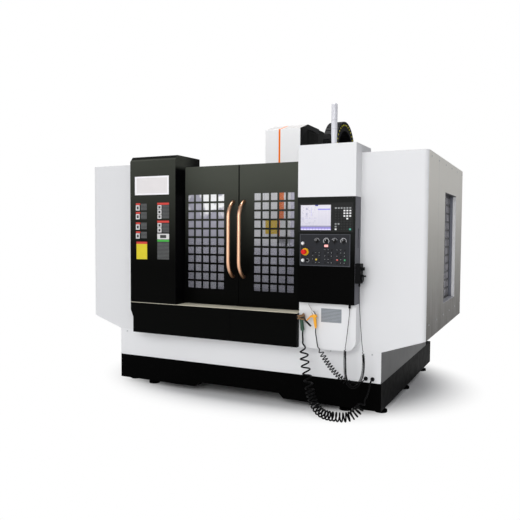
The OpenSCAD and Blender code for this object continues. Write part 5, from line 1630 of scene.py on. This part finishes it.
class MACHINE_OT_stage(Job):
    """Pale floor, soft light and the camera"""

    bl_idname = "machine.stage"
    bl_label = "Stage"

    def build(self):
        self.camera()
        self.floor()
        self.world()
        self.lamps()
        bpy.context.scene.view_settings.view_transform = "Standard"

    @staticmethod
    def camera():
        """The camera at the photograph's place and angle."""
        ahead = Vector((
            -math.sin(CAMERA_YAW) * math.cos(CAMERA_PITCH),
            math.cos(CAMERA_YAW) * math.cos(CAMERA_PITCH),
            -math.sin(CAMERA_PITCH),
        ))
        right = Vector((math.cos(CAMERA_YAW), math.sin(CAMERA_YAW), 0.0))
        up = right.cross(ahead)
        across = right * math.cos(CAMERA_ROLL) + up * math.sin(CAMERA_ROLL)
        rise = up * math.cos(CAMERA_ROLL) - right * math.sin(CAMERA_ROLL)
        lens = bpy.data.cameras.new("camera")
        lens.sensor_width = SENSOR_W
        lens.lens = FOCAL / FRAME_PX * SENSOR_W
        lens.clip_end = FAR_CLIP
        camera = link_object("camera", lens)
        turn = Matrix((across, rise, -ahead)).transposed().to_4x4()
        camera.matrix_world = Matrix.Translation(CAMERA_PLACE) @ turn
        bpy.context.scene.camera = camera

    @staticmethod
    def floor():
        """A pale floor that fades into a white ground away from the machine."""
        made = bmesh.new()
        bmesh.ops.create_grid(made, x_segments=8, y_segments=8, size=FLOOR_HALF)
        mesh = bpy.data.meshes.new("floor")
        made.to_mesh(mesh)
        made.free()
        paint = Finish("floor_paint", (0.86, 0.86, 0.86), 0.6, Specular_IOR_Level=0.2)
        paint.set("Roughness", 0.55 + 0.1 * paint.noise(1.5))
        x, y = paint.axes("XY")
        wide, deep = (axis * share for axis, share in zip((x, y), FLOOR_SHARES))
        away = (wide * wide + deep * deep).math("SQRT").ramp(*FLOOR_FADE)
        camera_ray = paint.node("ShaderNodeLightPath", {}, {}, "Is Camera Ray")
        rays = camera_ray + camera_ray.other("Is Glossy Ray") + camera_ray.other("Is Transmission Ray")
        shown = rays.math("MINIMUM", 1.0)
        glow = paint.node("ShaderNodeEmission", {}, {"Color": WHITE, "Strength": 1.0})
        lit = Tap(paint, paint.shader.outputs[0])
        blend = paint.node("ShaderNodeMixShader", {}, {0: away * shown, 1: lit, 2: glow})
        paint.put(paint.tree.nodes["Material Output"].inputs["Surface"], blend)
        mesh.materials.append(paint.material)
        floor = link_object("floor", mesh)

    @staticmethod
    def world():
        """Soft light from all round, a little weaker from the right, seen as white."""
        world = bpy.data.worlds.new("studio")
        world.use_nodes = True
        bpy.context.scene.world = world
        graph = Graph(world.node_tree)
        around = graph.node("ShaderNodeTexCoord", {}, {}, "Generated")
        strength = graph.node("ShaderNodeSeparateXYZ", {}, {0: around}, "X").ramp(*SKY_FADE)
        light = graph.node("ShaderNodeBackground", {}, {"Color": SKY, "Strength": strength})
        white = graph.node("ShaderNodeBackground", {}, {"Color": WHITE, "Strength": 1.0})
        seen = graph.node("ShaderNodeLightPath", {}, {}, "Is Camera Ray")
        blend = graph.node("ShaderNodeMixShader", {}, {0: seen, 1: light, 2: white})
        graph.tree.nodes.remove(graph.tree.nodes["Background"])
        graph.put(graph.tree.nodes["World Output"].inputs["Surface"], blend)

    @staticmethod
    def lamps():
        """Large soft lamps: one in front, one on the left and one above."""
        for name, place, aim, span, power in LAMPS:
            light = bpy.data.lights.new(name, "AREA")
            light.shape = "SQUARE"
            light.size = span
            light.energy = power
            lamp = link_object(name, light)
            lamp.location = place
            lamp.rotation_euler = (Vector(aim) - Vector(place)).to_track_quat("-Z", "Y").to_euler()


STEPS = (
    MACHINE_OT_finishes, MACHINE_OT_stage, MACHINE_OT_cords, MACHINE_OT_handles, MACHINE_OT_screen,
    MACHINE_OT_keys, MACHINE_OT_dials, MACHINE_OT_rings, MACHINE_OT_plates, MACHINE_OT_carrier,
    MACHINE_OT_screws, MACHINE_OT_wipers,
)


class MACHINE_PT_sidebar(bpy.types.Panel):
    """Lists the steps that dress the machine"""

    bl_idname = "MACHINE_PT_sidebar"
    bl_label = "Milling machine"
    bl_space_type = "VIEW_3D"
    bl_region_type = "UI"
    bl_category = "Milling machine"

    def draw(self, context):
        for group in (context.scene.machine_looks, context.scene.machine_sizes):
            for name in group.bl_rna.properties.keys():
                if name not in {"rna_type", "name"}:
                    self.layout.prop(group, name)
        for step in STEPS:
            self.layout.operator(step.bl_idname)


CLASSES = (MachineLooks, MachineSizes, *STEPS, MACHINE_PT_sidebar)


def register():
    """Adds the classes and the settings."""
    for kind in CLASSES:
        bpy.utils.register_class(kind)
    bpy.types.Scene.machine_looks = bpy.props.PointerProperty(type=MachineLooks)
    bpy.types.Scene.machine_sizes = bpy.props.PointerProperty(type=MachineSizes)


def unregister():
    """Takes the settings and the classes out again."""
    del bpy.types.Scene.machine_sizes
    del bpy.types.Scene.machine_looks
    for kind in reversed(CLASSES):
        bpy.utils.unregister_class(kind)


def main():
    """Builds every piece."""
    register()
    for step in STEPS:
        family, name = step.bl_idname.split(".")
        getattr(getattr(bpy.ops, family), name)()


if __name__ == "__main__":
    main()
